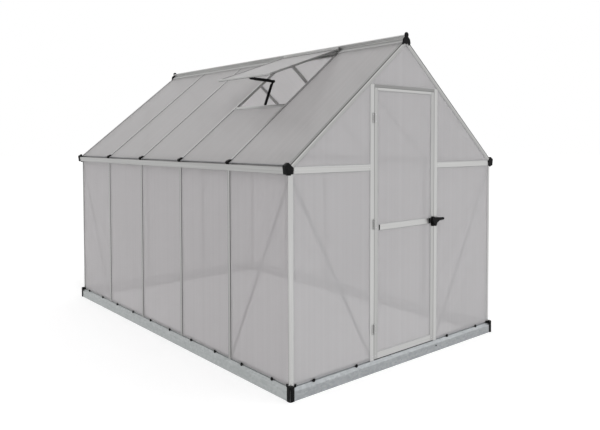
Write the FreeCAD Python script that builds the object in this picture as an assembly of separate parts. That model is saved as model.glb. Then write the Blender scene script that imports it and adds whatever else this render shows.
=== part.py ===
import FreeCAD, Part
import math
import os

# A walk-in hobby greenhouse: aluminium glazing bars on a pressed steel base, twin-wall sheets,
# a hinged door in the front gable and a propped vent in the left roof slope.
# Millimetres. X runs across the house, Y from the door gable to the rear gable, Z up.
# The origin is on the ground under the middle of the house.

Vector = FreeCAD.Vector

# --- driving dimensions -------------------------------------------------------------------
frame_width = 1850.0        # over the outer faces of the side walls
frame_length = 3060.0       # over the outer faces of the two gables
base_height = 70.0          # ground to the ledge that the walls stand on
eave_height = 1284.0        # outer roof surface, above the outer face of the side wall
roof_pitch = 39.8           # degrees from level
bay_count = 5               # equal bays along each side
sheet = 4.0                 # thickness of the twin-wall sheets
door_opening = 568.0        # clear width between the two door jambs
door_head_gap = 0.5         # between the lintel's upper corners and the rakes
rear_post_x = 300.0         # rear gable posts, out from the middle
vent_bay = 2                # counted from the door gable
vent_length = 645.0         # down the slope, from the roof's apex line
vent_rest_angle = 20.0      # degrees that the vent stands open

# --- clearances ---------------------------------------------------------------------------
fit = 0.3                   # between pieces that are bolted or pushed together
edge_clear = 0.5            # between a sheet's edge and the bottom of its slot
mitre_clear = 0.2
pin_clear = 0.08            # radial, in a hinge bore
door_clear = 2.0            # round the door leaf

# --- extrusions ---------------------------------------------------------------------------
wall = 1.6                  # metal thickness of every extrusion
bar_face = 22.0
bar_web = 3.0
channel_width = 14.0        # bolt channel on the inside of a bar
channel_depth = 12.0
channel_mouth = 7.0
post_leg = 20.0
post_round = 2.4            # rounding of a corner post's outer edge
rake_leg = 28.0
rake_start = 26.0           # rakes start this far down the slope from the apex line
rail_face = 35.0            # gable rails at eave height and the door's middle rail

# --- pressed steel base -------------------------------------------------------------------
steel = 1.5
base_out = 16.0             # the base stands this far outside the walls
shoulder_drop = 18.0        # height of the sloping shoulder below the ledge
shoulder_top = 1.0          # the ledge starts this far outside the walls
ledge_in = 30.0
foot_in = 52.0
lip = 8.0
upstand = 20.0              # flange behind the sheets
sheet_lift = 6.0            # gap between the ledge and the sheets
anchor_radius = 4.5
anchor_in = 41.0            # anchor holes, in from the wall face
side_anchor_spacing = 2200.0
end_anchor_spacing = 1200.0

# --- diagonal braces ----------------------------------------------------------------------
brace_width = 20.0
brace_thickness = 2.0
brace_inset = 13.0          # ends of a brace's centre line, in from the corner and the bar
brace_drop = 24.0           # and below the eaves

# --- buttons that hold the sheets' feet ---------------------------------------------------
button_radius = 11.0
button_sides = 10
button_head = 6.0
button_dome = 3.0
button_shank = 4.4          # across the flats of the square shank
button_barb = 1.2           # the barb behind the upstand is this much bigger
button_in_bay = (0.28, 0.78)
button_in_gable = (0.25, 0.79)

# --- moulded caps on the base's corners ---------------------------------------------------
cap_height = 82.0
cap_wall = 3.0
cap_arm = 30.0
cap_round = 12.0
lug_start = 24.0            # lugs, along the wall from the corner
lug_end = 35.0
lug_height = 16.0
lug_thickness = 5.0

# --- derived values -----------------------------------------------------------------------
half_width = frame_width / 2
half_length = frame_length / 2
bay = frame_length / bay_count
pitch = math.radians(roof_pitch)
cos_pitch = math.cos(pitch)
sin_pitch = math.sin(pitch)
apex_z = eave_height + half_width * math.tan(pitch)
slot = sheet + 2 * fit
seat_depth = wall + slot + wall
bar_depth = seat_depth + channel_depth
sheet_face = wall + fit     # from a bar's outer face to a sheet's outer face
sheet_bottom = base_height + sheet_lift
foot_z = base_height + fit

# --- eaves --------------------------------------------------------------------------------
eave_rail_depth = 50.0      # bottom of the gutter extrusion, below the outer roof surface
gutter_out = 32.0
gutter_foot_out = 27.0
gutter_front = 37.0
plate_in = 20.0
plate_out = 4.0
eave_bottom = eave_height - eave_rail_depth
post_top = eave_bottom - fit
sheet_overhang = 4.0        # roof sheets, outside the wall face
bar_overhang = 8.0
eave_channel = 8.0          # bolt lug on the gutter's inner leg
eave_end_notch = 8.0        # room at a gutter's ends for the rakes, below the bars' seat
eave_cap_plate = 4.0
eave_cap_skirt = 22.0
eave_cap_wall = 2.5
eave_cap_in = 20.0          # inside the wall face, at the cap's top
eave_cap_peak_out = 12.0
eave_cap_peak_rise = 11.0   # above the outer roof surface at the wall
eave_cap_prong = 6.0
cap_chamfer = 1.2

# --- ridge --------------------------------------------------------------------------------
ridge_flange = 38.0         # upper flange, down the slope
ridge_flange_thickness = 1.8
ridge_seat = 42.0           # lower flange, under the ends of the bars
ridge_channel = 14.0        # web below the lower flange
ridge_foot = 9.0            # half the width of the web's foot
roof_start = 12.0           # roof sheets start this far down the slope
bar_start = 20.0            # and the bars here
ridge_bulb_radius = 11.0
ridge_bulb_rise = 18.0
hinge_out = 15.0            # vent bead channel, out from the ridge line
hinge_rise = 16.0           # and above the roof's apex line
bead_radius = 4.0
bead_clear = 0.2
bead_wall = 1.8
bead_mouth = (150, 180, 215, 247)   # opening of the channel, degrees from the side towards the ridge
ridge_cap_plate = 7.0
ridge_cap_lobe = 17.0
ridge_cap_sides = 12        # of the lobe

# --- door ---------------------------------------------------------------------------------
jamb_face = 32.0
jamb_box = 18.0
jamb_depth = 27.5
lintel_face = 18.0
lintel_box = 10.0
stop_fin = 10.0
leaf_depth = 24.0
stile_face = 30.0
stile_box = 20.0
top_rail_face = 16.0
top_rail_box = 9.0
bottom_rail_face = 38.0
bottom_rail_box = 26.0
mid_rail_z = 884.0
hinge_inset = 184.0         # middle of the outer hinges, in from the leaf's ends
hinge_height = 60.0
knuckle_radius = 4.5
hinge_pin_radius = 2.0
hinge_plate = 1.6
hinge_plate_width = 18.0
hinge_front = 5.0           # hinge axis, in front of the gable face
spindle_in = 12.0           # spindle, in from the leaf's free edge
spindle_radius = 4.0
handle_drop = 4.0           # spindle, below the middle rail's centre line
spindle_grip = 6.0          # spindle's length inside the lever
handle_plate_half = 11.5
handle_plate_rise = 30.0
handle_plate_drop = 34.0
handle_plate_corner = 6.0
plate_front = 9.0           # these three stand out from the gable face
lever_back = 19.0
lever_front = 30.0
lever_corner = 6.0
lever_bevel = 1.5
lever_boss = 9.0
latch_reach = 48.0
latch_half = 7.0
latch_thickness = 3.0
rail_clip_in = 8.7          # black clips on the middle rail, in from its ends
rail_clip_width = 8.0
rail_clip_front = 2.0
sweep_thickness = 6.0
screw_radius = 5.5          # screw in the base under the latch jamb
screw_head = 2.5
screw_out = 12.0
screw_z = 39.0

# --- vent and stay ------------------------------------------------------------------------
vent_lap = 8.0              # the vent laps this far over the bars beside it
sash_bottom = 2.6           # above the outer roof surface
sash_sheet = 8.0            # underside of the slot for the vent's sheet
sash_lip = 16.0
sash_back = 2.0             # back walls of the vent's bars
vent_top = 17.0             # the vent's sheet starts this far down the slope
bead_neck = 2.2
sash_top = sash_sheet + slot + wall
sill_lap = 23.0             # the vent reaches this far past the sill's upper edge
sill_face = 24.0
sill_box = 12.0
arm_width = 16.0
arm_thickness = 4.0
lower_arm = 205.0
upper_arm = 190.0
stay_pin_radius = 3.0
arm_gap = 1.8               # each arm stands this far off the stay's middle plane
ear_thickness = 3.0
bracket_half = 16.0         # half the width of the stay's brackets
bracket_plate = 2.2
rivet_radius = 5.5
rivet_head = 1.8
bolt_head = 6.0             # bolt of the wing knob at the knee
knob_hub = 8.0
knob_length = 13.0
knob_reach = 20.0
knob_wing_thickness = 6.0
nut_radius = 6.0
nut_length = 5.0
pivot_above_sill = 22.0     # lower pivot, up the slope from the sill
pivot_below_roof = 40.0     # and under the outer roof surface
pivot_in_sash = 60.0        # upper pivot, up the slope from the vent's lower edge
pivot_under_sash = 14.0     # and under the outer roof surface, with the vent shut
# sill, and the stay's pivots as (distance down the slope, height off the roof surface)
sill_start = vent_length - sill_lap
lower_pivot = (sill_start - pivot_above_sill, -pivot_below_roof)
upper_pivot = (vent_length - pivot_in_sash, -pivot_under_sash)

parts = {}


def keep(name, shape):
    """Add one solid, or each solid of a shape, to a named piece."""
    parts.setdefault(name, []).extend(shape.Solids)


def prism(points, direction):
    """Extrude a closed polygon of points."""
    outline = Part.makePolygon(list(points) + [points[0]])
    return Part.Face(outline).extrude(direction)


def joined(shapes):
    """One solid out of several that touch or overlap."""
    return shapes[0].fuse(shapes[1:]).removeSplitter()


def box(x0, x1, y0, y1, z0, z1):
    return Part.makeBox(x1 - x0, y1 - y0, z1 - z0, Vector(x0, y0, z0))


def many_sided(radius, length, centre, axis, sides=16, tip_radius=None):
    """Small turned piece with flat sides, so that it needs few faces; it may taper to its tip."""
    axis = axis * (1 / axis.Length)
    across = Vector(axis.y, axis.z, axis.x)
    across = across - axis * across.dot(axis)
    across = across * (1 / across.Length)
    other = axis.cross(across)
    rings = []
    for ring_radius, height in ((radius, 0), (radius if tip_radius is None else tip_radius, length)):
        turns = [2 * math.pi * (i + 0.5) / sides for i in range(sides)]
        points = [centre + axis * height + (across * math.cos(t) + other * math.sin(t)) * ring_radius
                  for t in turns]
        rings.append(points)
    if tip_radius is None:
        return prism(rings[0], axis * length)
    wires = [Part.makePolygon(points + [points[0]]) for points in rings]
    return Part.makeLoft(wires, True, True)


def mirror_x(shape):
    return shape.mirror(Vector(0, 0, 0), Vector(1, 0, 0))


def mirror_y(shape):
    return shape.mirror(Vector(0, 0, 0), Vector(0, 1, 0))


def both_sides(shape):
    return [shape, mirror_x(shape)]


def four_corners(shape):
    return both_sides(shape) + both_sides(mirror_y(shape))


def upright_edges(shape, x, y):
    """Vertical edges of a shape that stand at (x, y)."""
    return [e for e in shape.Edges if abs(e.BoundBox.XMin - x) < 0.01 and abs(e.BoundBox.XMax - x) < 0.01
            and abs(e.BoundBox.YMin - y) < 0.01 and abs(e.BoundBox.YMax - y) < 0.01]


def edges_along_y(shape):
    return [e for e in shape.Edges if e.BoundBox.XLength < 0.01 and e.BoundBox.ZLength < 0.01]


def front_edges(shape):
    """Edges of the face that looks towards -Y."""
    return [e for e in shape.Edges if e.BoundBox.YMax < shape.BoundBox.YMin + 0.01]


def rectangle(a0, a1, b0, b1):
    return [(a0, b0), (a1, b0), (a1, b1), (a0, b1)]


def slope_point(s, n, y=0.0):
    """A point on the left roof slope: s down the slope from the apex line, n off its surface."""
    return Vector(-s * cos_pitch - n * sin_pitch, y, apex_z - s * sin_pitch + n * cos_pitch)


down_slope = Vector(-cos_pitch, 0, -sin_pitch)


def slope_distance(out):
    """Distance down the slope to a point that lies out from the side wall's face."""
    return (half_width + out) / cos_pitch


def along_slope(outline, y0, y1):
    """Extrude an outline of (s, n) pairs along the house."""
    return prism([slope_point(s, n, y0) for s, n in outline], Vector(0, y1 - y0, 0))


def across_wall(outline, y0, y1):
    """Extrude an outline of (out from the left wall, z) pairs along the house."""
    points = [Vector(-half_width - out, y0, z) for out, z in outline]
    return prism(points, Vector(0, y1 - y0, 0))


def bar_outline(face):
    """Glazing bar: outer cap, slots for a sheet on both sides, bolt channel on the inside."""
    half = face / 2
    web = bar_web / 2
    tube = channel_width / 2
    mouth = channel_mouth / 2
    right = [(half, 0), (half, wall), (web, wall), (web, wall + slot), (half, wall + slot),
             (half, seat_depth), (tube, seat_depth), (tube, bar_depth), (mouth, bar_depth),
             (mouth, bar_depth - wall), (tube - wall, bar_depth - wall), (tube - wall, seat_depth)]
    return right + [(-a, depth) for a, depth in reversed(right)]


def corner_outline(leg_u, leg_v):
    """Corner extrusion with one slot along each leg, measured in from its outer corner."""
    core = seat_depth
    return [(0, 0), (leg_u, 0), (leg_u, wall), (core, wall), (core, wall + slot),
            (leg_u, wall + slot), (leg_u, seat_depth), (core, core), (core, leg_v),
            (wall + slot, leg_v), (wall + slot, core), (wall, core), (wall, leg_v), (0, leg_v)]


def box_section(face, tube, depth, place, direction):
    """Rail with a hollow box on one edge and a slot for a sheet on the other.

    place turns (distance from the box's edge, depth from the outer face) into a point."""
    def sweep(outline):
        return prism([place(a, b) for a, b in outline], direction)
    solid = joined([sweep(rectangle(0, tube, 0, depth)), sweep(rectangle(0, face, 0, wall)),
                    sweep(rectangle(0, face, wall + slot, seat_depth))])
    return solid.cut(sweep(rectangle(wall, tube - wall, wall, depth - wall))).removeSplitter()


# --- base ---------------------------------------------------------------------------------
def base_outline():
    """Closed profile of a base rail: (in from the wall face, z)."""
    t = steel
    shoulder_z = base_height - shoulder_drop
    outer = [(foot_in, 0), (-base_out, 0), (-base_out, shoulder_z), (-shoulder_top, base_height),
             (seat_depth - wall, base_height), (seat_depth - wall, base_height + upstand),
             (seat_depth - wall + t, base_height + upstand), (seat_depth - wall + t, base_height),
             (ledge_in, base_height), (ledge_in, base_height - lip)]
    inner = [(ledge_in - t, base_height - lip), (ledge_in - t, base_height - t),
             (-shoulder_top, base_height - t), (t - base_out, shoulder_z), (t - base_out, t),
             (foot_in - t, t), (foot_in - t, lip), (foot_in, lip)]
    return outer + inner


def mitred(half_run, place):
    """Base rail, its section swept along a wall and cut at 45 degrees at both ends.

    place turns (distance along the wall, distance in from its face, z) into a point."""
    longest = half_run + base_out
    rail = prism([place(-longest, v, z) for v, z in base_outline()],
                 place(longest, 0, 0) - place(-longest, 0, 0))
    outer = longest - mitre_clear
    inner = half_run - foot_in - mitre_clear
    plan = [place(-outer, -base_out, 0), place(outer, -base_out, 0),
            place(inner, foot_in, 0), place(-inner, foot_in, 0)]
    return rail.common(prism(plan, Vector(0, 0, base_height + upstand)))


def anchor_hole(x, y):
    return Part.makeCylinder(anchor_radius, 3 * steel, Vector(x, y, -steel))


def build_base():
    """Four mitred rails with anchor holes in the foot and a button hole for every button."""
    left = mitred(half_length, lambda run, v, z: Vector(-half_width + v, run, z))
    for y in (-side_anchor_spacing / 2, side_anchor_spacing / 2):
        left = left.cut(anchor_hole(-half_width + anchor_in, y))
    for y in button_places_side():
        left = left.cut(button_hole_at(y))
    keep("base_rail_left", left)
    keep("base_rail_right", mirror_x(left))

    front = mitred(half_width, lambda run, v, z: Vector(run, -half_length + v, z))
    for x in (-end_anchor_spacing / 2, end_anchor_spacing / 2):
        front = front.cut(anchor_hole(x, -half_length + anchor_in))
    rear = mirror_y(front)
    doorway = door_opening / 2 + jamb_face + fit
    front = front.cut(box(-doorway, doorway, -half_length, -half_length + ledge_in,
                          base_height, base_height + 2 * upstand))
    for x in button_places_front():
        front = front.cut(to_front(button_hole_at(0), x))
    for x in button_places_rear():
        rear = rear.cut(mirror_y(to_front(button_hole_at(0), x)))
    keep("base_rail_front", front)
    keep("base_rail_rear", rear)


def build_base_corner_caps():
    """Moulded cap over each mitre, with a lug beside the post on each wall."""
    out = base_out + fit + cap_wall
    x, y = -half_width, -half_length
    shell = box(x - out, x - out + cap_arm, y - out, y - out + cap_arm, fit, cap_height)
    shell = shell.makeFillet(cap_round, upright_edges(shell, x - out, y - out))
    inside = base_out + fit
    shell = shell.cut(box(x - inside, x + cap_arm, y - inside, y + cap_arm, -1, foot_z))
    shell = shell.cut(box(x - fit, x + cap_arm, y - fit, y + cap_arm, base_height, cap_height + 1))
    tab = box(x - lug_thickness, x - fit, y + cap_arm - out - 2, y + lug_end, foot_z, foot_z + lug_thickness)
    lug = box(x - lug_thickness, x - fit, y + lug_start, y + lug_end, foot_z, foot_z + lug_height)
    side = tab.fuse(lug)
    diagonal = Vector(1, -1, 0)
    front = side.mirror(Vector(x, y, 0), diagonal)
    for cap in four_corners(joined([shell, side, front])):
        keep("base_corner_caps", cap)


# --- walls --------------------------------------------------------------------------------
def clear_of_upstand(shape):
    """Notch a left-hand post's or bar's foot so that it stands in front of the base's upstand."""
    depth = seat_depth - wall - fit
    x, y = -half_width + depth, -half_length + depth
    return shape.cut(box(x, 0, y, 0, base_height, base_height + upstand + fit)) \
                .cut(box(x, 0, 0, half_length, base_height, base_height + upstand + fit))


def corner_post():
    """Corner extrusion, slotted for the side and the gable sheets."""
    x, y = -half_width, -half_length
    outline = [Vector(x + u, y + v, foot_z) for u, v in corner_outline(post_leg, post_leg)]
    post = prism(outline, Vector(0, 0, post_top - foot_z))
    post = post.makeFillet(post_round, upright_edges(post, x, y))
    return clear_of_upstand(post)


def side_bar(y):
    """Glazing bar of the left wall."""
    points = [Vector(-half_width + depth, y + a, foot_z) for a, depth in bar_outline(bar_face)]
    return clear_of_upstand(prism(points, Vector(0, 0, post_top - foot_z)))


def bay_line(k):
    return -half_length + k * bay


def bay_edges(k):
    """Y of a sheet's two edges in bay k, counted from 0 at the door gable."""
    y0 = bay_line(k) + bar_web / 2 + edge_clear
    y1 = bay_line(k + 1) - bar_web / 2 - edge_clear
    if k == 0:
        y0 = -half_length + seat_depth + edge_clear
    if k == bay_count - 1:
        y1 = half_length - seat_depth - edge_clear
    return y0, y1


def build_walls():
    post = corner_post()
    side_sheet_top = plate_line(0, -bar_depth - fit - wall) - 4 * edge_clear
    for shape in both_sides(post):
        keep("corner_posts_front", shape)
        keep("corner_posts_rear", mirror_y(shape))
    x0 = -half_width + sheet_face
    for k in range(1, bay_count):
        bar = side_bar(bay_line(k))
        keep("side_bars_left", bar)
        keep("side_bars_right", mirror_x(bar))
    for k in range(bay_count):
        y0, y1 = bay_edges(k)
        pane = box(x0, x0 + sheet, y0, y1, sheet_bottom, side_sheet_top)
        keep("side_panels_left", pane)
        keep("side_panels_right", mirror_x(pane))


# --- sheet buttons ------------------------------------------------------------------------
button_z = base_height + button_shank / 2 + 2 * fit
rail_z = eave_bottom + rail_face / 2


def button_at(y):
    """Button of the left wall: domed head over the sheet's foot, shank through the upstand."""
    x = -half_width
    head = many_sided(button_radius, button_head - button_dome - fit, Vector(x - fit, y, button_z),
                      Vector(-1, 0, 0), button_sides)
    dome = many_sided(button_radius, button_dome, Vector(x - button_head + button_dome, y, button_z),
                      Vector(-1, 0, 0), button_sides, button_radius - button_dome)
    half = button_shank / 2
    barb = half + button_barb
    back = x + seat_depth + fit
    shank = box(x - button_dome, back + 1, y - half, y + half, button_z - half, button_z + half)
    tip = box(back, back + button_barb, y - barb, y + barb, button_z - half, button_z + barb)
    top = base_height + 2 * fit
    shoulder = across_wall([(-ledge_in, top), (shoulder_top, top), (base_out, top - shoulder_drop),
                            (base_out, 0), (-ledge_in, 0)], y - 2 * button_radius, y + 2 * button_radius)
    return joined([head, dome, shank, tip]).cut(shoulder)


def button_hole_at(y):
    """Square hole in the left upstand for a button's shank."""
    half = button_shank / 2 + fit
    return box(-half_width, -half_width + seat_depth + steel, y - half, y + half,
               button_z - half, button_z + half)


def to_front(shape, x):
    """Bring a shape of the left wall at y = 0 to the front gable at x."""
    turned = shape.copy()
    turned.rotate(Vector(-half_width, 0, 0), Vector(0, 0, 1), 90)
    turned.translate(Vector(half_width + x, -half_length, 0))
    return turned


def button_places_side():
    """Y of every button along a side wall."""
    return [bay_line(k) + share * bay for k in range(bay_count) for share in button_in_bay]


def front_sheet_span():
    """X of the two edges of the sheet between the left corner post and the hinge jamb."""
    inner = door_opening / 2 + jamb_box + edge_clear
    return -half_width + seat_depth + edge_clear, -inner


def button_places_front():
    """X of the front gable's buttons, on both sides of the doorway."""
    x0, x1 = front_sheet_span()
    left = [x0 + share * (x1 - x0) for share in button_in_gable]
    return left + [-x for x in left]


def button_places_rear():
    """X of the rear gable's buttons: the front's, and two between the posts."""
    middle = rear_post_x / 2
    return button_places_front() + [-middle, middle]


def build_buttons():
    """Buttons all round the base."""
    for y in button_places_side():
        for shape in both_sides(button_at(y)):
            keep("sheet_buttons", shape)
    for x in button_places_front():
        keep("sheet_buttons", to_front(button_at(0), x))
    for x in button_places_rear():
        keep("sheet_buttons", mirror_y(to_front(button_at(0), x)))


# --- gables -------------------------------------------------------------------------------
def rake_underside(x):
    """Z of the lower edge of a rake bar on the gable face."""
    return eave_height + (half_width - abs(x)) * math.tan(pitch) - rake_leg / cos_pitch


def sheet_line(x):
    """Z of the top edge of a gable sheet inside the rake's slot."""
    depth = seat_depth + edge_clear
    return eave_height + (half_width - abs(x)) * math.tan(pitch) - depth / cos_pitch


jamb_out = door_opening / 2 + jamb_face
jamb_top = rake_underside(jamb_out) - fit
lintel_underside = jamb_top - lintel_face - door_head_gap + fit


def rake():
    """Sloping corner extrusion that holds the roof sheet and the gable sheet."""
    outline = [slope_point(rake_start, -u, -half_length + v)
               for u, v in corner_outline(rake_leg, post_leg)]
    length = slope_distance(bar_overhang) - rake_start
    return prism(outline, down_slope * length)


def gable_point(x, z, depth):
    return Vector(x, -half_length + depth, z)


def gable_sheet(outline):
    return prism([gable_point(x, z, sheet_face) for x, z in outline], Vector(0, sheet, 0))


def gable_rail(x0, x1):
    """Level H-section rail at eave height, between x0 and x1 on the front gable."""
    outline = [gable_point(x0, rail_z + a, depth) for a, depth in bar_outline(rail_face)]
    return prism(outline, Vector(x1 - x0, 0, 0))


def rail_start():
    """Out from here a rail at eave height would run into the rake."""
    drop = rail_z + rail_face / 2 - (eave_height - rake_leg / cos_pitch)
    return half_width - drop / math.tan(pitch) - fit


def upper_sheet(x_in):
    """Sheet between the eave rail, the rake and a post whose slot ends at x_in."""
    x_out = -rail_start() + edge_clear
    z0 = rail_z + bar_web / 2 + edge_clear
    return gable_sheet([(x_out, z0), (x_in, z0), (x_in, sheet_line(x_in)), (x_out, sheet_line(x_out))])


def build_jambs_and_lintel():
    """Door frame: hollow jambs up to the rakes, with fins that the leaf closes against."""
    half_door = door_opening / 2
    fin_back = -half_length + jamb_depth
    fin_front = fin_back - wall

    def jamb_place(a, depth):
        return Vector(-half_door - a, -half_length + depth, foot_z)
    jamb = box_section(jamb_face, jamb_box, jamb_depth, jamb_place, Vector(0, 0, jamb_top - foot_z))
    fin = box(-half_door - wall, -half_door + stop_fin, fin_front, fin_back,
              foot_z, lintel_underside - fit)
    jamb = joined([jamb, fin])
    keep("hinge_jamb", jamb)
    keep("latch_jamb", mirror_x(jamb))

    def lintel_place(a, depth):
        return Vector(-half_door + fit, -half_length + depth, lintel_underside + a)
    span = Vector(door_opening - 2 * fit, 0, 0)
    lintel = box_section(lintel_face, lintel_box, jamb_depth, lintel_place, span)
    fin_x = half_door - stop_fin - fit
    fin = box(-fin_x, fin_x, fin_front, fin_back, lintel_underside - stop_fin, lintel_underside + wall)
    keep("door_lintel", joined([lintel, fin]))


def build_front_gable():
    """Gable rails beside the door, and the sheets beside and above it."""
    rail = gable_rail(-rail_start(), -jamb_out - fit)
    for shape in both_sides(rail):
        keep("front_eave_rails", shape)

    x0, x1 = front_sheet_span()
    lower_top = rail_z - bar_web / 2 - edge_clear
    lower = gable_sheet([(x0, sheet_bottom), (x1, sheet_bottom), (x1, lower_top), (x0, lower_top)])
    for shape in both_sides(lower) + both_sides(upper_sheet(x1)):
        keep("front_panels", shape)

    above_lintel = lintel_underside + lintel_box + edge_clear
    above_jamb = jamb_top + fit
    narrow = door_opening / 2 - edge_clear
    wide = door_opening / 2 + jamb_box - edge_clear
    right = [(narrow, above_lintel), (narrow, above_jamb), (wide, above_jamb), (wide, sheet_line(wide))]
    left = [(-x, z) for x, z in reversed(right)]
    keep("front_panels", gable_sheet(right + [(0, sheet_line(0))] + left))


def build_rear_gable():
    """Plain gable: two glazing bars up to the rakes and rails at eave height."""
    half_bar = bar_face / 2
    web = bar_web / 2
    top = rake_underside(rear_post_x + half_bar) - fit
    outline = [gable_point(-rear_post_x + a, foot_z, depth) for a, depth in bar_outline(bar_face)]
    post = clear_of_upstand(prism(outline, Vector(0, 0, top - foot_z)))
    for shape in both_sides(post):
        keep("rear_posts", mirror_y(shape))

    side_rail = gable_rail(-rail_start(), -rear_post_x - half_bar - fit)
    mid_rail = gable_rail(-rear_post_x + half_bar + fit, rear_post_x - half_bar - fit)
    for shape in both_sides(side_rail) + [mid_rail]:
        keep("rear_eave_rails", mirror_y(shape))

    outer = front_sheet_span()[0]
    beside = -rear_post_x - web - edge_clear
    between = rear_post_x - web - edge_clear
    under_rail = rail_z - web - edge_clear
    over_rail = rail_z + web + edge_clear
    lower = gable_sheet([(outer, sheet_bottom), (beside, sheet_bottom), (beside, under_rail),
                         (outer, under_rail)])
    middle = gable_sheet([(-between, sheet_bottom), (between, sheet_bottom), (between, under_rail),
                          (-between, under_rail)])
    upper = gable_sheet([(-between, over_rail), (between, over_rail), (between, sheet_line(between)),
                         (0, sheet_line(0)), (-between, sheet_line(between))])
    for shape in both_sides(lower) + both_sides(upper_sheet(beside)) + [middle, upper]:
        keep("rear_panels", mirror_y(shape))


def build_rakes():
    for shape in both_sides(rake()):
        keep("front_rakes", shape)
        keep("rear_rakes", mirror_y(shape))


# --- eaves --------------------------------------------------------------------------------
def plate_line(out, n):
    """Z of a line parallel to the roof, n off its surface, at a distance out from the wall."""
    return eave_height - out * math.tan(pitch) + n / cos_pitch


def eave_gutter():
    """Eave extrusion: socket for the wall sheets, seat for the roof bars, and rain gutter."""
    seat = -bar_depth - fit
    foot = eave_bottom
    front = foot + gutter_front
    lug_start = seat_depth + eave_channel
    outlines = [
        rectangle(-seat_depth, -seat_depth + wall, foot, plate_line(-seat_depth, seat - wall)),
        rectangle(-wall, 0, foot, plate_line(0, seat - wall / 2)),
        [(-plate_in, plate_line(-plate_in, seat)), (plate_out, plate_line(plate_out, seat)),
         (plate_out, plate_line(plate_out, seat - wall)),
         (-plate_in, plate_line(-plate_in, seat - wall))],
        rectangle(-wall, gutter_foot_out, foot, foot + wall),
        [(gutter_foot_out - wall, foot), (gutter_foot_out, foot), (gutter_out, front),
         (gutter_out - wall, front)],
        rectangle(gutter_out - 3 * wall, gutter_out, front - wall, front),
        rectangle(-lug_start, -seat_depth, foot, foot + wall),
        rectangle(-lug_start, -lug_start + wall, foot, foot + 2 * wall),
    ]
    solid = joined([across_wall(outline, -half_length, half_length) for outline in outlines])
    end = half_length - seat_depth - fit
    above_trough = plate_line(plate_out, seat) - eave_end_notch
    for y0, y1 in ((-half_length, -end), (end, half_length)):
        solid = solid.cut(box(-half_width - plate_out - fit, 0, y0, y1, above_trough, eave_height))
        solid = solid.cut(box(-half_width + wall + fit, 0, y0, y1, foot, eave_height))
    return solid


def eave_cap_outline():
    """Shield outline of an eave corner cap, (out from the wall, z), with a central prong."""
    low = eave_bottom - fit - eave_cap_wall
    shoulder = eave_bottom + gutter_front + 8
    tip = low - eave_cap_prong
    return [(-eave_cap_in, eave_bottom + 33), (eave_cap_peak_out, eave_height + eave_cap_peak_rise),
            (gutter_out + 5, shoulder), (gutter_foot_out + 4, low), (14, low), (12, tip), (-2, tip),
            (-4, low), (2 - eave_cap_in, low)]


def eave_corner_cap():
    """End plate against the gutter's end, with a skirt that sleeves its trough."""
    face = -half_length - fit
    plate = across_wall(eave_cap_outline(), face - eave_cap_plate, face)
    plate = plate.makeChamfer(cap_chamfer, front_edges(plate))
    skirt = across_wall(eave_cap_outline(), face - cap_chamfer, face + eave_cap_skirt)
    foot = eave_bottom - fit
    lip_z = eave_bottom + gutter_front + fit
    lip_out = gutter_out + fit
    inner_wall = plate_out + 2 * fit + eave_cap_wall
    peak = eave_height + eave_cap_peak_rise - 2 * eave_cap_wall
    trough = [(inner_wall, foot), (gutter_foot_out + fit, foot), (lip_out, lip_z - fit),
              (lip_out, lip_z + eave_cap_wall), (eave_cap_peak_out, peak),
              (inner_wall, peak - eave_cap_wall)]
    skirt = skirt.cut(across_wall(trough, face - cap_chamfer, face + eave_cap_skirt))
    skirt = skirt.cut(box(-half_width - inner_wall, 0, face - cap_chamfer, face + eave_cap_skirt,
                          eave_bottom - 2 * eave_cap_skirt, eave_height + 2 * eave_cap_skirt))
    return joined([plate, skirt])


def build_eaves():
    """Two gutters and their four corner caps."""
    gutter = eave_gutter()
    keep("eave_gutter_left", gutter)
    keep("eave_gutter_right", mirror_x(gutter))
    for shape in four_corners(eave_corner_cap()):
        keep("eave_corner_caps", shape)


# --- roof ---------------------------------------------------------------------------------
def roof_bar(y):
    """Glazing bar of the left slope, from under the ridge to just past the eaves."""
    outline = [slope_point(bar_start, -depth, y + a) for a, depth in bar_outline(bar_face)]
    return prism(outline, down_slope * (slope_distance(bar_overhang) - bar_start))


def roof_sheet(s0, y0, y1):
    """Sheet of the left slope from s0 down to the eaves."""
    end = slope_distance(sheet_overhang)
    return along_slope([(s0, -sheet_face), (end, -sheet_face), (end, -sheet_face - sheet),
                        (s0, -sheet_face - sheet)], y0, y1)


def foot_clip(y):
    """Moulded clip over a roof bar's lower end."""
    end = slope_distance(bar_overhang)
    outline = [(end - 31, fit), (end - 31, 4), (end - 7, 12), (end + 4, 8), (end + 6, -13),
               (end + fit, -13), (end + fit, fit)]
    half = bar_face / 2 + 2
    return along_slope(outline, y - half, y + half)


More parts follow.
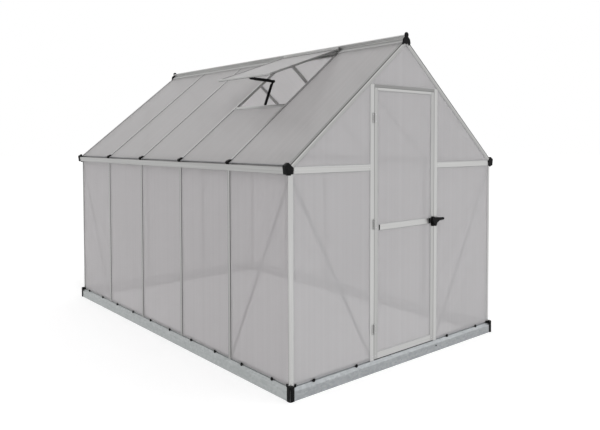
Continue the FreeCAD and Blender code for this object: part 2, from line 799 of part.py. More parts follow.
def ridge_beam():
    """Ridge extrusion: flanges over and under the bars, a bead channel each side, a hollow crest."""
    seat = -bar_depth - fit
    offsets = (fit, fit + ridge_flange_thickness, seat, seat - ridge_flange_thickness)
    upper, crown, ledge, below = [n / cos_pitch for n in offsets]
    crest = Vector(0, -half_length, apex_z + ridge_bulb_rise)
    along = Vector(0, frame_length, 0)

    def tube(radius, centre):
        return Part.makeCylinder(radius, frame_length, centre, along)

    def swept(points):
        return prism([Vector(p.x, -half_length, p.z) for p in points], along)

    def level(half, z0, z1):
        return box(-half, half, -half_length, half_length, z0, z1)

    def flange(reach, n0, n1, z0, z1):
        return swept([Vector(0, 0, apex_z + z0), slope_point(reach, n0), slope_point(reach, n1),
                      Vector(0, 0, apex_z + z1)])
    channels = [(side, Vector(side * hinge_out, -half_length, apex_z + hinge_rise)) for side in (-1, 1)]
    web_foot = apex_z + below - ridge_channel
    pieces = both_sides(flange(ridge_flange, offsets[0], offsets[1], upper, crown))
    pieces += both_sides(flange(ridge_seat, offsets[2], offsets[3], ledge, below))
    pieces += [level(wall, web_foot, crest.z), level(ridge_foot, web_foot - wall, web_foot)]
    pieces += [tube(ridge_bulb_radius, crest)]
    pieces += [tube(bead_radius + bead_clear + bead_wall, centre) for side, centre in channels]
    beam = joined(pieces).cut(tube(ridge_bulb_radius - wall, crest))
    for side, centre in channels:
        beam = beam.cut(tube(bead_radius + bead_clear, centre))
        reach = 2 * (bead_radius + bead_clear)
        rays = [math.radians(angle) for angle in bead_mouth]
        mouth = [Vector(centre.x - side * reach * math.cos(ray), 0, centre.z + reach * math.sin(ray))
                 for ray in rays]
        beam = beam.cut(swept([centre] + mouth))
    return clear_of_rakes(beam)


def clear_of_rakes(beam):
    """Cut the ridge back to its upper flanges where the gable sheets and rakes end against it."""
    end = half_length - seat_depth - fit
    depth = -(fit / 2) / cos_pitch
    reach = 2 * ridge_seat
    cut = [Vector(0, -half_length, apex_z + depth), slope_point(reach, -fit / 2, -half_length),
           Vector(0, -half_length, apex_z - 2 * reach)]
    for shape in both_sides(prism(cut, Vector(0, half_length - end, 0))):
        beam = beam.cut(shape).cut(mirror_y(shape))
    return beam


def ridge_cap():
    """Moulded end cap: a rounded crest with a wing and a tail over each rake."""
    centre_z = apex_z + ridge_bulb_rise + 7
    lower = [(31.0, apex_z - 2), (36.0, apex_z - 25), (30.0, apex_z - 39), (22.0, apex_z - 27),
             (9.0, apex_z - 31)]
    waist = math.radians(-37)
    step = (math.pi / 2 - waist) / (ridge_cap_sides // 2)
    turns = [waist + step * i for i in range(ridge_cap_sides // 2 + 1)]
    lobe = [(ridge_cap_lobe * math.cos(t), centre_z + ridge_cap_lobe * math.sin(t)) for t in turns[:-1]]
    right = lower[::-1] + lobe
    left = [(-x, z) for x, z in reversed(right)]
    outline = right + [(0, centre_z + ridge_cap_lobe)] + left
    y0 = -half_length - fit
    plate = prism([Vector(x, y0, z) for x, z in outline], Vector(0, -ridge_cap_plate, 0))
    return plate.makeChamfer(cap_chamfer, front_edges(plate))


def build_roof():
    """Bars, sheets and foot clips of both slopes, and the ridge with its end caps."""
    for k in range(1, bay_count):
        for bar, name in zip(both_sides(roof_bar(bay_line(k))), ("roof_bars_left", "roof_bars_right")):
            keep(name, bar)
        for clip in both_sides(foot_clip(bay_line(k))):
            keep("roof_bar_clips", clip)
    for k in range(bay_count):
        y0, y1 = bay_edges(k)
        below_vent = sill_start + wall + edge_clear
        keep("roof_panels_left", roof_sheet(below_vent if k == vent_bay - 1 else roof_start, y0, y1))
        keep("roof_panels_right", mirror_x(roof_sheet(roof_start, y0, y1)))
    keep("ridge_beam", ridge_beam())
    cap = ridge_cap()
    keep("ridge_end_caps", cap)
    keep("ridge_end_caps", mirror_y(cap))


# --- braces -------------------------------------------------------------------------------
def brace_outline(a0, z0, a1, z1):
    """Strip from (a0, z0) to (a1, z1) in a wall's plane."""
    length = math.hypot(a1 - a0, z1 - z0)
    across = (-(z1 - z0) / length * brace_width / 2, (a1 - a0) / length * brace_width / 2)
    return [(a0 + across[0], z0 + across[1]), (a1 + across[0], z1 + across[1]),
            (a1 - across[0], z1 - across[1]), (a0 - across[0], z0 - across[1])]


def brace(start, channel, place, direction):
    """Strip from a corner post's head down to a bar's foot, trimmed to fit between them.

    start is the wall's corner, channel the edge of the bar's bolt channel, and place turns
    (distance along the wall, depth, z) into a point."""
    depth = seat_depth + fit
    inner = start + depth + brace_thickness + fit
    outer = channel - fit
    foot = base_height + upstand
    slant = brace_outline(start + brace_inset, eave_bottom - brace_drop, channel - brace_inset,
                          foot + brace_inset)
    strip = prism([place(a, depth, z) for a, z in slant], direction * brace_thickness)
    limits = [(inner, foot + fit), (outer, foot + fit), (outer, post_top), (inner, post_top)]
    window = prism([place(a, depth, z) for a, z in limits], direction * brace_thickness)
    return strip.common(window)


def build_braces():
    """Diagonal strips behind the corner posts' flanges, one each side of every corner."""
    def side_place(a, depth, z):
        return Vector(-half_width + depth, a, z)

    def front_place(a, depth, z):
        return gable_point(a, z, depth)
    side = brace(-half_length, bay_line(1) - channel_width / 2, side_place, Vector(1, 0, 0))
    front = brace(-half_width, -door_opening / 2 - jamb_box, front_place, Vector(0, 1, 0))
    rear = brace(-half_width, -rear_post_x - channel_width / 2, front_place, Vector(0, 1, 0))
    for shape in four_corners(side) + both_sides(front) + both_sides(mirror_y(rear)):
        keep("wall_braces", shape)


# --- door ---------------------------------------------------------------------------------
leaf_half = door_opening / 2 - door_clear
leaf_bottom = sheet_bottom
leaf_top = lintel_underside - door_clear
handle_z = mid_rail_z - handle_drop
hinge_heights = (leaf_bottom + hinge_inset, (leaf_bottom + leaf_top) / 2, leaf_top - hinge_inset)
hinge_x = -leaf_half - door_clear / 2
hinge_y = -half_length - hinge_front
spindle_x = leaf_half - spindle_in


def cylinder_y(radius, x, y0, y1, z):
    return Part.makeCylinder(radius, y1 - y0, Vector(x, y0, z), Vector(0, 1, 0))


def build_door_frame():
    """Leaf: two stiles, three rails, two sheets, the sweep under it and the rail's end clips."""
    front = -half_length

    def stile_place(a, depth):
        return Vector(-leaf_half + a, front + depth, leaf_bottom)
    up = Vector(0, 0, leaf_top - leaf_bottom)
    stile = box_section(stile_face, stile_box, leaf_depth, stile_place, up)
    keep("door_hinge_stile", stile)
    bore = many_sided(spindle_radius + fit, leaf_depth, Vector(spindle_x, front, handle_z), Vector(0, 1, 0))
    keep("door_latch_stile", mirror_x(stile).cut(bore))

    x0 = -leaf_half + stile_face + fit
    across = Vector(-2 * x0, 0, 0)

    def top_place(a, depth):
        return Vector(x0, front + depth, leaf_top - a)

    def bottom_place(a, depth):
        return Vector(x0, front + depth, leaf_bottom + a)
    keep("door_top_rail", box_section(top_rail_face, top_rail_box, leaf_depth, top_place, across))
    keep("door_bottom_rail", box_section(bottom_rail_face, bottom_rail_box, leaf_depth,
                                         bottom_place, across))
    outline = [Vector(x0, front + depth, mid_rail_z + a) for a, depth in bar_outline(rail_face)]
    keep("door_mid_rail", prism(outline, across))

    edge = leaf_half - stile_box - edge_clear
    y0 = front + sheet_face
    low = leaf_bottom + bottom_rail_box + edge_clear
    mid = bar_web / 2 + edge_clear
    high = leaf_top - top_rail_box - edge_clear
    keep("door_lower_panel", box(-edge, edge, y0, y0 + sheet, low, mid_rail_z - mid))
    keep("door_upper_panel", box(-edge, edge, y0, y0 + sheet, mid_rail_z + mid, high))

    clip_x = x0 + rail_clip_in
    half_clip = rail_face / 2 - wall
    clip = box(clip_x, clip_x + rail_clip_width, front - rail_clip_front, front - fit,
               mid_rail_z - half_clip, mid_rail_z + half_clip)
    for shape in both_sides(clip):
        keep("door_rail_clips", shape)
    sweep_y = front + wall + fit
    keep("door_sweep", box(-leaf_half, leaf_half, sweep_y, sweep_y + sweep_thickness,
                           foot_z + fit, leaf_bottom - fit))


def build_hinges():
    """Three butt hinges: outer knuckles on the jamb, the middle one on the leaf, loose pins."""
    third = hinge_height / 3
    bore = hinge_pin_radius + pin_clear
    reach = knuckle_radius + fit
    back = -half_length - fit
    front = back - hinge_plate
    up = Vector(0, 0, 1)

    def knuckle(low, high):
        return many_sided(knuckle_radius, high - low, Vector(hinge_x, hinge_y, low), up)
    for middle in hinge_heights:
        low = middle - hinge_height / 2
        high = middle + hinge_height / 2
        inner_low, inner_high = low + third, high - third
        hole = many_sided(bore, hinge_height, Vector(hinge_x, hinge_y, low), up)

        plate = box(hinge_x - hinge_plate_width, hinge_x, front, back, low, high)
        plate = plate.cut(box(hinge_x - reach, hinge_x, front, back, inner_low - fit, inner_high + fit))
        jamb_leaf = joined([plate, knuckle(low, inner_low - fit), knuckle(inner_high + fit, high)])
        keep("jamb_hinge_leaves", jamb_leaf.cut(hole))

        plate = box(hinge_x + reach, hinge_x + hinge_plate_width, front, back, low, high)
        tongue = box(hinge_x, hinge_x + hinge_plate_width, front, back, inner_low, inner_high)
        keep("door_hinge_leaves", joined([plate, tongue, knuckle(inner_low, inner_high)]).cut(hole))

        pin = many_sided(hinge_pin_radius, hinge_height + fit, Vector(hinge_x, hinge_y, low), up)
        head = many_sided(knuckle_radius - 1, hinge_plate, Vector(hinge_x, hinge_y, high + fit), up)
        keep("door_hinge_pins", joined([pin, head]))


def build_handle():
    """Turn handle: back plate on the stile, moulded lever, and square spindle with the latch arm."""
    x, face = spindle_x, -half_length
    plate = box(x - handle_plate_half, x + handle_plate_half, face - plate_front, face - fit,
                handle_z - handle_plate_drop, handle_z + handle_plate_rise)
    plate = plate.makeChamfer(handle_plate_corner, edges_along_y(plate))
    bore = many_sided(spindle_radius + fit, plate_front, Vector(x, face - plate_front, handle_z),
                      Vector(0, 1, 0))
    keep("handle_back_plate", plate.cut(bore))

    outline = [(-29, 27), (90, 20), (90, 5), (42, 2), (15, -12), (9, -31), (-7, -31), (-29, 8)]
    lever = prism([Vector(x + u, face - lever_back, handle_z + w) for u, w in outline],
                  Vector(0, lever_back - lever_front, 0))
    lever = lever.makeFillet(lever_corner, edges_along_y(lever))
    lever = lever.makeChamfer(lever_bevel, front_edges(lever))
    boss_length = lever_back - plate_front - fit
    boss = many_sided(lever_boss, boss_length + 1, Vector(x, face - lever_back - 1, handle_z),
                      Vector(0, 1, 0))
    half = spindle_radius / math.sqrt(2)
    socket_front = face - lever_back - spindle_grip
    socket = box(x - half, x + half, socket_front, face, handle_z - half, handle_z + half)
    keep("door_handle", joined([lever, boss]).cut(socket))

    half = half - pin_clear
    latch_front = face + jamb_depth + 2 * fit
    latch_back = latch_front + latch_thickness
    rod = box(x - half, x + half, socket_front + fit, latch_back, handle_z - half, handle_z + half)
    arm = box(x - latch_half, x + latch_half, latch_front, latch_back, handle_z - latch_half,
              handle_z + latch_reach)
    arm = arm.makeChamfer(latch_half / 2, edges_along_y(arm))
    keep("latch_spindle", joined([rod, arm]))


def build_base_screw():
    """Hexagonal screw head on the front base rail, under the latch jamb."""
    head = many_sided(screw_radius, screw_head, Vector(door_opening / 2 + screw_out,
                      -half_length - base_out - fit - screw_head, screw_z), Vector(0, 1, 0), 6)
    keep("base_screw", head)


# --- vent ---------------------------------------------------------------------------------
hinge_point = Vector(-hinge_out, 0, apex_z + hinge_rise)


def slope_coordinates(point):
    """Distance down the slope and height off the roof of a point."""
    dx, dz = -point.x, apex_z - point.z
    return dx * cos_pitch + dz * sin_pitch, dx * sin_pitch - dz * cos_pitch


def opened(shape):
    """Turn a piece of the vent from shut to the angle that it stands at."""
    turned = shape.copy()
    turned.rotate(hinge_point, Vector(0, 1, 0), vent_rest_angle)
    return turned


vent_y0 = bay_line(vent_bay - 1) - vent_lap
vent_y1 = bay_line(vent_bay) + vent_lap
vent_centre = (vent_y0 + vent_y1) / 2


def sash_section():
    """Outlines, as (distance in from the sash's edge, height off the roof), of a side or bottom bar."""
    return [rectangle(0, sash_back, sash_bottom, sash_top),
            rectangle(0, sash_lip, sash_sheet - wall, sash_sheet),
            rectangle(0, sash_lip, sash_top - wall, sash_top)]


def vent_hinge_bar():
    """Top bar of the vent: a bead in the ridge's channel, a neck over the flange, and the sheet's slot."""
    s_hinge, n_hinge = slope_coordinates(hinge_point)
    half_neck = bead_neck / 2
    slot_start = vent_top - sash_back
    outlines = [
        rectangle(s_hinge + bead_radius / 2, vent_top, n_hinge - half_neck, n_hinge + half_neck),
        rectangle(vent_top - sash_back, vent_top, sash_bottom + fit, n_hinge + half_neck),
        rectangle(slot_start, vent_top + sash_lip, sash_sheet - wall, sash_sheet),
        rectangle(slot_start, vent_top + sash_lip, sash_top - wall, sash_top),
    ]
    bead = cylinder_y(bead_radius, hinge_point.x, vent_y0, vent_y1, hinge_point.z)
    return joined([bead] + [along_slope(outline, vent_y0, vent_y1) for outline in outlines])


def vent_side_bar():
    """Bar of the vent's edge nearer to the door gable."""
    s0 = vent_top + sash_lip + fit
    s1 = vent_length - sash_lip - fit
    return joined([prism([slope_point(s0, n, vent_y0 + a) for a, n in outline], down_slope * (s1 - s0))
                   for outline in sash_section()])


def build_vent():
    """Sash of four bars round a sheet, hooked into the ridge."""
    keep("vent_hinge_bar", opened(vent_hinge_bar()))
    side = vent_side_bar()
    keep("vent_side_bars", opened(side))
    keep("vent_side_bars", opened(side.mirror(Vector(0, vent_centre, 0), Vector(0, 1, 0))))
    bottom = joined([along_slope([(vent_length - a, n) for a, n in outline], vent_y0, vent_y1)
                     for outline in sash_section()])
    keep("vent_bottom_bar", opened(bottom))
    under = sash_sheet + fit
    inset = sash_back + edge_clear
    pane = along_slope(rectangle(vent_top + edge_clear, vent_length - inset, under, under + sheet),
                       vent_y0 + inset, vent_y1 - inset)
    keep("vent_panel", opened(pane))


def build_sill():
    """Bar across the opening's lower edge, with the slot for the sheet below it."""
    y0 = bay_line(vent_bay - 1) + bar_face / 2 + fit
    y1 = bay_line(vent_bay) - bar_face / 2 - fit
    end = sill_start + sill_face
    tube_end = sill_start + sill_box
    outlines = [rectangle(sill_start, end, -wall, 0),
                rectangle(sill_start, sill_start + wall, -seat_depth, 0),
                rectangle(sill_start, end, -seat_depth, -seat_depth + wall),
                rectangle(sill_start, tube_end, -bar_depth, -seat_depth + wall / 2)]
    solid = joined([along_slope(outline, y0, y1) for outline in outlines])
    hollow = rectangle(sill_start + wall, tube_end - wall, wall - bar_depth, -seat_depth)
    keep("vent_sill", solid.cut(along_slope(hollow, y0, y1)))


# --- stay ---------------------------------------------------------------------------------
def flat_link(start, end, y0):
    """Flat arm with round ends between two points, drilled at both."""
    radius = arm_width / 2
    length = end - start
    across = Vector(-length.z, 0, length.x) * (radius / length.Length)
    lift = Vector(0, y0, 0)
    strip = prism([start + across + lift, end + across + lift, end - across + lift,
                   start - across + lift], Vector(0, arm_thickness, 0))
    y1 = y0 + arm_thickness
    arm = joined([strip] + [cylinder_y(radius, point.x, y0, y1, point.z) for point in (start, end)])
    for point in (start, end):
        arm = arm.cut(cylinder_y(stay_pin_radius + pin_clear, point.x, y0, y1, point.z))
    return arm


def knee_point(lower, upper):
    """Where the two arms of the stay meet, on the side towards the ridge."""
    span = upper - lower
    distance = span.Length
    foot = (lower_arm ** 2 - upper_arm ** 2 + distance ** 2) / (2 * distance)
    rise = math.sqrt(lower_arm ** 2 - foot ** 2)
    along = span * (1 / distance)
    return lower + along * foot + Vector(along.z, 0, -along.x) * rise


def stay_pin(point, y0, y1):
    """Rivet with a head at each end."""
    along_y = Vector(0, 1, 0)
    pieces = [many_sided(stay_pin_radius, y1 - y0, Vector(point.x, y0, point.z), along_y)]
    for y in (y0 - rivet_head, y1):
        pieces.append(many_sided(rivet_radius, rivet_head, Vector(point.x, y, point.z), along_y))
    return joined(pieces)


def bracket(ear_outline, foot_outline, pivot):
    """Pressed bracket: an ear on the stay's middle plane, standing on a wider foot."""
    half_ear = ear_thickness / 2
    ear = along_slope(ear_outline, vent_centre - half_ear, vent_centre + half_ear)
    foot = along_slope(foot_outline, vent_centre - bracket_half, vent_centre + bracket_half)
    bore = many_sided(stay_pin_radius + pin_clear, bracket_half,
                      Vector(pivot.x, vent_centre - bracket_half / 2, pivot.z), Vector(0, 1, 0))
    return joined([ear, foot]).cut(bore)


def build_stay():
    """Two arms between a bracket on the sill and one under the vent, with a wing knob at the knee."""
    lower = slope_point(*lower_pivot)
    shut = slope_point(*upper_pivot)
    marker = Part.Vertex(shut)
    marker.rotate(hinge_point, Vector(0, 1, 0), vent_rest_angle)
    upper = marker.Point
    knee = knee_point(lower, upper)
    half_ear = ear_thickness / 2
    arms_out = arm_gap + arm_thickness
    keep("stay_lower_arm", flat_link(lower, knee, vent_centre + arm_gap))
    keep("stay_upper_arm", flat_link(upper, knee, vent_centre - arms_out))

    s, n = lower_pivot
    face = sill_start - fit
    ear = [(face, -seat_depth - 1), (face, -bar_depth), (s + 6, n - 6), (s - 6, n - 6), (s - 8, n + 5)]
    foot = rectangle(face - bracket_plate, face, -bar_depth, -seat_depth - 1)
    keep("stay_sill_bracket", bracket(ear, foot, lower))
    keep("stay_sill_bracket", stay_pin(lower, vent_centre - half_ear - fit, vent_centre + arms_out + fit))

    s, n = upper_pivot
    top = sash_sheet - wall - fit
    ear = [(s - 14, top), (s - 8, n), (s - 4, n - 7), (s + 4, n - 7), (s + 8, n), (s + 30, top)]
    foot = rectangle(s - 14, vent_length - 2 * sash_back, top - bracket_plate, top)
    keep("stay_vent_bracket", opened(bracket(ear, foot, shut)))
    keep("stay_vent_bracket", stay_pin(upper, vent_centre - arms_out - fit, vent_centre + half_ear + fit))
    build_knee(lower, knee)


def build_knee(lower, knee):
    """Wing knob with its bolt on the lower arm, and the nut on the upper arm."""
    along_y = Vector(0, 1, 0)

    def at(y):
        return Vector(knee.x, vent_centre + y, knee.z)
    inner = fit - arm_gap
    outer = arm_gap + arm_thickness + fit
    head = many_sided(bolt_head, -2 * inner, at(inner), along_y)
    bolt = many_sided(stay_pin_radius, outer + 1 - inner, at(inner), along_y)
    hub = many_sided(knob_hub, knob_length, at(outer), along_y, 16, knob_hub - 1.5)
    direction = (knee - lower) * (1 / lower_arm)
    side = Vector(-direction.z, 0, direction.x)
    half = direction * (knob_wing_thickness / 2)
    wing_root = outer + knob_length / 3
    wings = []
    for sign in (-1, 1):
        inside = side * (sign * knob_hub / 2)
        tip = side * (sign * knob_reach)
        corners = [inside + half, tip + half, tip - half, inside - half]
        wings.append(prism([at(wing_root) + corner for corner in corners], along_y * knob_length))
    keep("stay_wing_knob", joined([head, bolt, hub] + wings))
    nut = many_sided(nut_radius, nut_length, at(-outer - nut_length), along_y, 6)
    keep("stay_knee_nut", nut)


build_base()
build_base_corner_caps()
build_walls()
build_buttons()
build_jambs_and_lintel()
build_front_gable()
build_rear_gable()
build_rakes()
build_eaves()
build_roof()
build_braces()
build_door_frame()
build_hinges()
build_handle()
build_base_screw()
build_vent()
build_sill()
build_stay()

os.makedirs("parts", exist_ok=True)
for name, solids in parts.items():
    shape = solids[0] if len(solids) == 1 else Part.makeCompound(solids)
    shape.exportStep("parts/" + name + ".step")
print(len(parts), "nodes,", sum(len(solids) for solids in parts.values()), "solids")
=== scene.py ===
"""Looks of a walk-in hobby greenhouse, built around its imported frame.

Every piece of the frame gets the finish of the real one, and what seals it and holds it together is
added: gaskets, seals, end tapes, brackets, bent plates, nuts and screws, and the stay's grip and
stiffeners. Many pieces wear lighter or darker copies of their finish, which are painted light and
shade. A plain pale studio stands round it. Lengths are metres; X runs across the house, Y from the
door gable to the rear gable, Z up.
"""

import logging
import math
from dataclasses import dataclass
from enum import Enum
from typing import Callable, ClassVar, Iterable, Sequence

import bmesh
import bpy
from mathutils import Matrix, Vector


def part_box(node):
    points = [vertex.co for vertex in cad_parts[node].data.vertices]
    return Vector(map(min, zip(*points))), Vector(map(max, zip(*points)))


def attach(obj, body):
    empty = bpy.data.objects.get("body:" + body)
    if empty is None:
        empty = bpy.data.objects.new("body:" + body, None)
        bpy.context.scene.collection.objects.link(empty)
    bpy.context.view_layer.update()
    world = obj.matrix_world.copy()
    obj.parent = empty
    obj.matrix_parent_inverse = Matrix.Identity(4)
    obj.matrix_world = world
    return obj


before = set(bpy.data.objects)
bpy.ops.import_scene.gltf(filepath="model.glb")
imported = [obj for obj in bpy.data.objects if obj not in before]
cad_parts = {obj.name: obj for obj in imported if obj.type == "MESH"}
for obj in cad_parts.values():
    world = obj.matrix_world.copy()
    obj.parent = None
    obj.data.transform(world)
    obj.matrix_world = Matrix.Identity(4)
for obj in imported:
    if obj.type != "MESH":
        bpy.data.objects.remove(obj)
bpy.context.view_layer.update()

Tree = bpy.types.NodeTree
Node = bpy.types.Node
Source = bpy.types.Node | bpy.types.NodeSocket  # what feeds an input; a node gives its first output
Shape = bmesh.types.BMesh
Face = bmesh.types.BMFace
Pair = tuple[float, float]
Spot = tuple[Vector, Vector]  # a fixing's point and the direction that it faces
Strip = tuple[Sequence[Vector], Vector, Vector]  # two ends, and the ways across and outwards

LOG = logging.getLogger("greenhouse")
MM = 0.001
ROOF_PITCH = math.radians(39.8)


# --- node and colour helpers --------------------------------------------------------------------


def linear(colour: str) -> tuple[float, float, float, float]:
    """Turns an sRGB hex colour to the linear values that a shader works in.

    Args:
        colour: Six hex digits with a leading hash.

    Returns:
        Linear red, green, blue and an alpha of 1.
    """
    channels = [int(colour[i : i + 2], 16) / 255 for i in (1, 3, 5)]
    curve = [c / 12.92 if c <= 0.04045 else ((c + 0.055) / 1.055) ** 2.4 for c in channels]
    return (*curve, 1.0)


def add_node(
    tree: Tree,
    kind: str,
    inputs: dict | None = None,
    stops: Sequence[tuple[float, str]] = (),
    **settings: object,
) -> Node:
    """Adds one node with its settings, values and links.

    Args:
        tree: Node tree that takes the node.
        kind: Blender's type name of the node, without its leading ShaderNode.
        inputs: Socket names or numbers, each with a value to set or a source to link.
        stops: A colour ramp's places from 0 to 1 and their sRGB hex colours.
        **settings: Properties of the node itself.

    Returns:
        The new node.
    """
    node = tree.nodes.new(f"ShaderNode{kind}")
    for name, value in settings.items():
        setattr(node, name, value)
    for socket, value in (inputs or {}).items():
        if isinstance(value, bpy.types.Node):
            value = value.outputs[0]
        if isinstance(value, bpy.types.NodeSocket):
            tree.links.new(value, node.inputs[socket])
        else:
            node.inputs[socket].default_value = value
    if stops:
        elements = node.color_ramp.elements
        while len(elements) < len(stops):
            elements.new(1.0)
        for element, (place, colour) in zip(elements, stops):
            element.position, element.color = place, linear(colour)
    return node


class Run(Enum):
    """Direction in which a bar or sheet was drawn, which its die lines or flutes follow."""

    ACROSS = "x"
    ALONG = "y"
    UP = "z"
    SLOPE = "slope"


def drawn_coordinates(tree: Tree, run: Run, along: float, across: float) -> Node:
    """Gives coordinates that are stretched along a piece's drawn direction.

    Args:
        tree: Node tree that takes the nodes.
        run: Direction of drawing.
        along: Length of one pattern unit along that direction, in metres.
        across: Length of one pattern unit across it, in metres.

    Returns:
        The node that feeds a texture whose scale is 1.
    """
    place = add_node(tree, "TexCoord").outputs["Object"]
    if run is Run.SLOPE:  # the two slopes mirror each other, so X is folded and turned level
        parts = add_node(tree, "SeparateXYZ", {0: place}).outputs
        fold = add_node(tree, "Math", {0: parts["X"]}, operation="ABSOLUTE")
        folded = add_node(tree, "CombineXYZ", {"X": fold, "Y": parts["Y"], "Z": parts["Z"]})
        turn = {"Vector": folded, "Angle": -ROOF_PITCH}
        place = add_node(tree, "VectorRotate", turn, rotation_type="Y_AXIS")
    scale = [1 / across] * 3
    scale[{Run.ALONG: 1, Run.UP: 2}.get(run, 0)] = 1 / along
    return add_node(tree, "Mapping", {"Vector": place, "Scale": scale})


def follow_patterns(
    tree: Tree,
    inputs: dict,
    rough: tuple[Source, float, float],
    relief: tuple[Source, float, float] | None = None,
) -> Node:
    """Builds a shader whose roughness and relief follow patterns.

    Args:
        tree: Node tree of the material.
        inputs: The shader's other inputs.
        rough: A pattern, and the roughness where it is 0 and where it is 1.
        relief: A pattern, and the strength and depth of its bump, or None for a level surface.

    Returns:
        The shader.
    """
    pattern, low, high = rough
    spread = {"Value": pattern, "To Min": low, "To Max": high}
    inputs["Roughness"] = add_node(tree, "MapRange", spread)
    if relief:
        bump = dict(zip(("Height", "Strength", "Distance"), relief))
        inputs["Normal"] = add_node(tree, "Bump", bump)
    return add_node(tree, "BsdfPrincipled", inputs)


# --- finishes -----------------------------------------------------------------------------------


@dataclass(frozen=True)
class Finish:
    """A surface as it was made. Its material is made once and shared by all that wear it."""

    name: str

    def material(self) -> bpy.types.Material:
        """Gives the finish's material, made on first use.

        Returns:
            The material.
        """
        found = bpy.data.materials.get(self.name)
        if found:
            return found
        material = bpy.data.materials.new(self.name)
        material.use_nodes = True
        tree = material.node_tree
        tree.nodes.clear()
        add_node(tree, "OutputMaterial", {"Surface": self.surface(tree)})
        return material

    def surface(self, tree: Tree) -> Node:
        """Builds the finish's shader.

        Args:
            tree: Empty node tree of the material.

        Returns:
            The shader.
        """
        raise NotImplementedError


@dataclass(frozen=True)
class GrainedFinish(Finish):
    """Surface whose colour, gloss and relief follow one fine pattern."""

    run: Run | None = None  # the way that the pattern is drawn out, or None where it is even
    light: str = "#808080"
    dark: str = "#808080"
    rough: Pair = (0.5, 0.5)  # where the pattern is low and where it is high
    grain: float = 1.0 * MM
    length: float = 1.0 * MM  # of the pattern along the run
    detail: float = 2.0
    crumble: float = 0.5
    spread: Pair = (0.35, 0.65)  # where on the pattern the colour is darkest and lightest
    relief: Pair | None = None  # strength and depth of the bump
    patch: float = 0.0  # size of the colour's own patches, where it doesn't follow the grain
    fixed: ClassVar[dict[str, float]] = {}  # the shader's inputs that are the same all over

    def surface(self, tree: Tree) -> Node:
        """Builds the finish's shader.

        Args:
            tree: Empty node tree of the material.

        Returns:
            The shader.
        """
        grain = self.pattern(tree, self.grain)
        colour = linear(self.dark)
        if self.light != self.dark:
            pattern = self.pattern(tree, self.patch) if self.patch else grain
            stops = list(zip(self.spread, (self.dark, self.light)))
            colour = self.shade(tree, add_node(tree, "ValToRGB", {"Fac": pattern}, stops))
        inputs = {"Base Color": colour, **self.fixed}
        relief = (grain, *self.relief) if self.relief else None
        return follow_patterns(tree, inputs, (grain, *self.rough), relief)

    def pattern(self, tree: Tree, size: float) -> Node:
        """Adds the fine pattern.

        Args:
            tree: Node tree of the material.
            size: Size of its grain, across the run where it has one.

        Returns:
            The pattern.
        """
        shape = {"Detail": self.detail, "Roughness": self.crumble}
        if self.run:
            place = drawn_coordinates(tree, self.run, self.length, size)
            return add_node(tree, "TexNoise", {"Vector": place, "Scale": 1.0, **shape})
        place = add_node(tree, "TexCoord").outputs["Object"]
        return add_node(tree, "TexNoise", {"Vector": place, "Scale": 1 / size, **shape})

    def shade(self, tree: Tree, tone: Source) -> Source:
        """Paints light and shade into the colour by the piece's shape; a plain piece keeps the colour.
        """
        return tone


@dataclass(frozen=True)
class ExtrudedAluminium(GrainedFinish):
    """Mill-finish aluminium bar, pressed through a die.

    The die leaves fine lines along the bar, which streak its highlights, and the oxide makes it
    satin.
    """

    light: str = "#B9B9B8"
    dark: str = "#A6A6A5"
    rough: Pair = (0.42, 0.27)
    grain: float = 3.0 * MM  # real die lines lie 0.3 mm apart, drawn coarser so that they show
    length: float = 900 * MM
    detail: float = 3.0
    crumble: float = 0.6
    relief: Pair | None = (0.12, 0.2 * MM)
    fixed: ClassVar[dict[str, float]] = {"Metallic": 1.0}


@dataclass(frozen=True)
class EpdmRubber(GrainedFinish):
    """Extruded EPDM rubber, cured in hot air: dull, with a dry bloom along its length."""

    light: str = "#434344"
    dark: str = "#2E2E2F"
    rough: Pair = (0.62, 0.8)
    grain: float = 4 * MM
    length: float = 120 * MM
    spread: Pair = (0.4, 0.7)
    fixed: ClassVar[dict[str, float]] = {"IOR": 1.52}


@dataclass(frozen=True)
class MouldedResin(GrainedFinish):
    """Injection-moulded polypropylene, mostly black against sunlight.

    The tool was spark-eroded, which leaves a fine even grain that dulls the gloss, and the sun has
    faded it in patches.
    """

    light: str = "#121213"
    dark: str = "#0A0A0B"
    rough: Pair = (0.46, 0.64)
    grain: float = 1.6 * MM
    spread: Pair = (0.4, 0.75)
    relief: Pair | None = (0.25, 0.15 * MM)
    patch: float = 1000 / 14 * MM
    fixed: ClassVar[dict[str, float]] = {"IOR": 1.49, "Specular IOR Level": 0.1}


@dataclass(frozen=True)
class ZincPlatedSteel(GrainedFinish):
    """Cold-headed steel, barrel-plated with zinc, which leaves it softly mottled.

    It is pale and faintly blue; a dark copy of it is painted shade.
    """

    light: str = "#CBD0D3"
    dark: str = "#A3A8AC"
    rough: Pair = (0.36, 0.24)
    grain: float = 2.5 * MM
    detail: float = 3.0
    fixed: ClassVar[dict[str, float]] = {"Metallic": 1.0}


@dataclass(frozen=True)
class PowderCoatedSteel(GrainedFinish):
    """Steel with a baked black polyester powder coat.

    The powder flows out unevenly, so the coat is satin with a fine orange peel.
    """

    light: str = "#070708"
    dark: str = "#070708"
    rough: Pair = (0.34, 0.5)
    grain: float = 2.2 * MM
    detail: float = 1.0
    relief: Pair | None = (0.3, 0.1 * MM)
    fixed: ClassVar[dict[str, float]] = {"IOR": 1.5, "Specular IOR Level": 0.15}


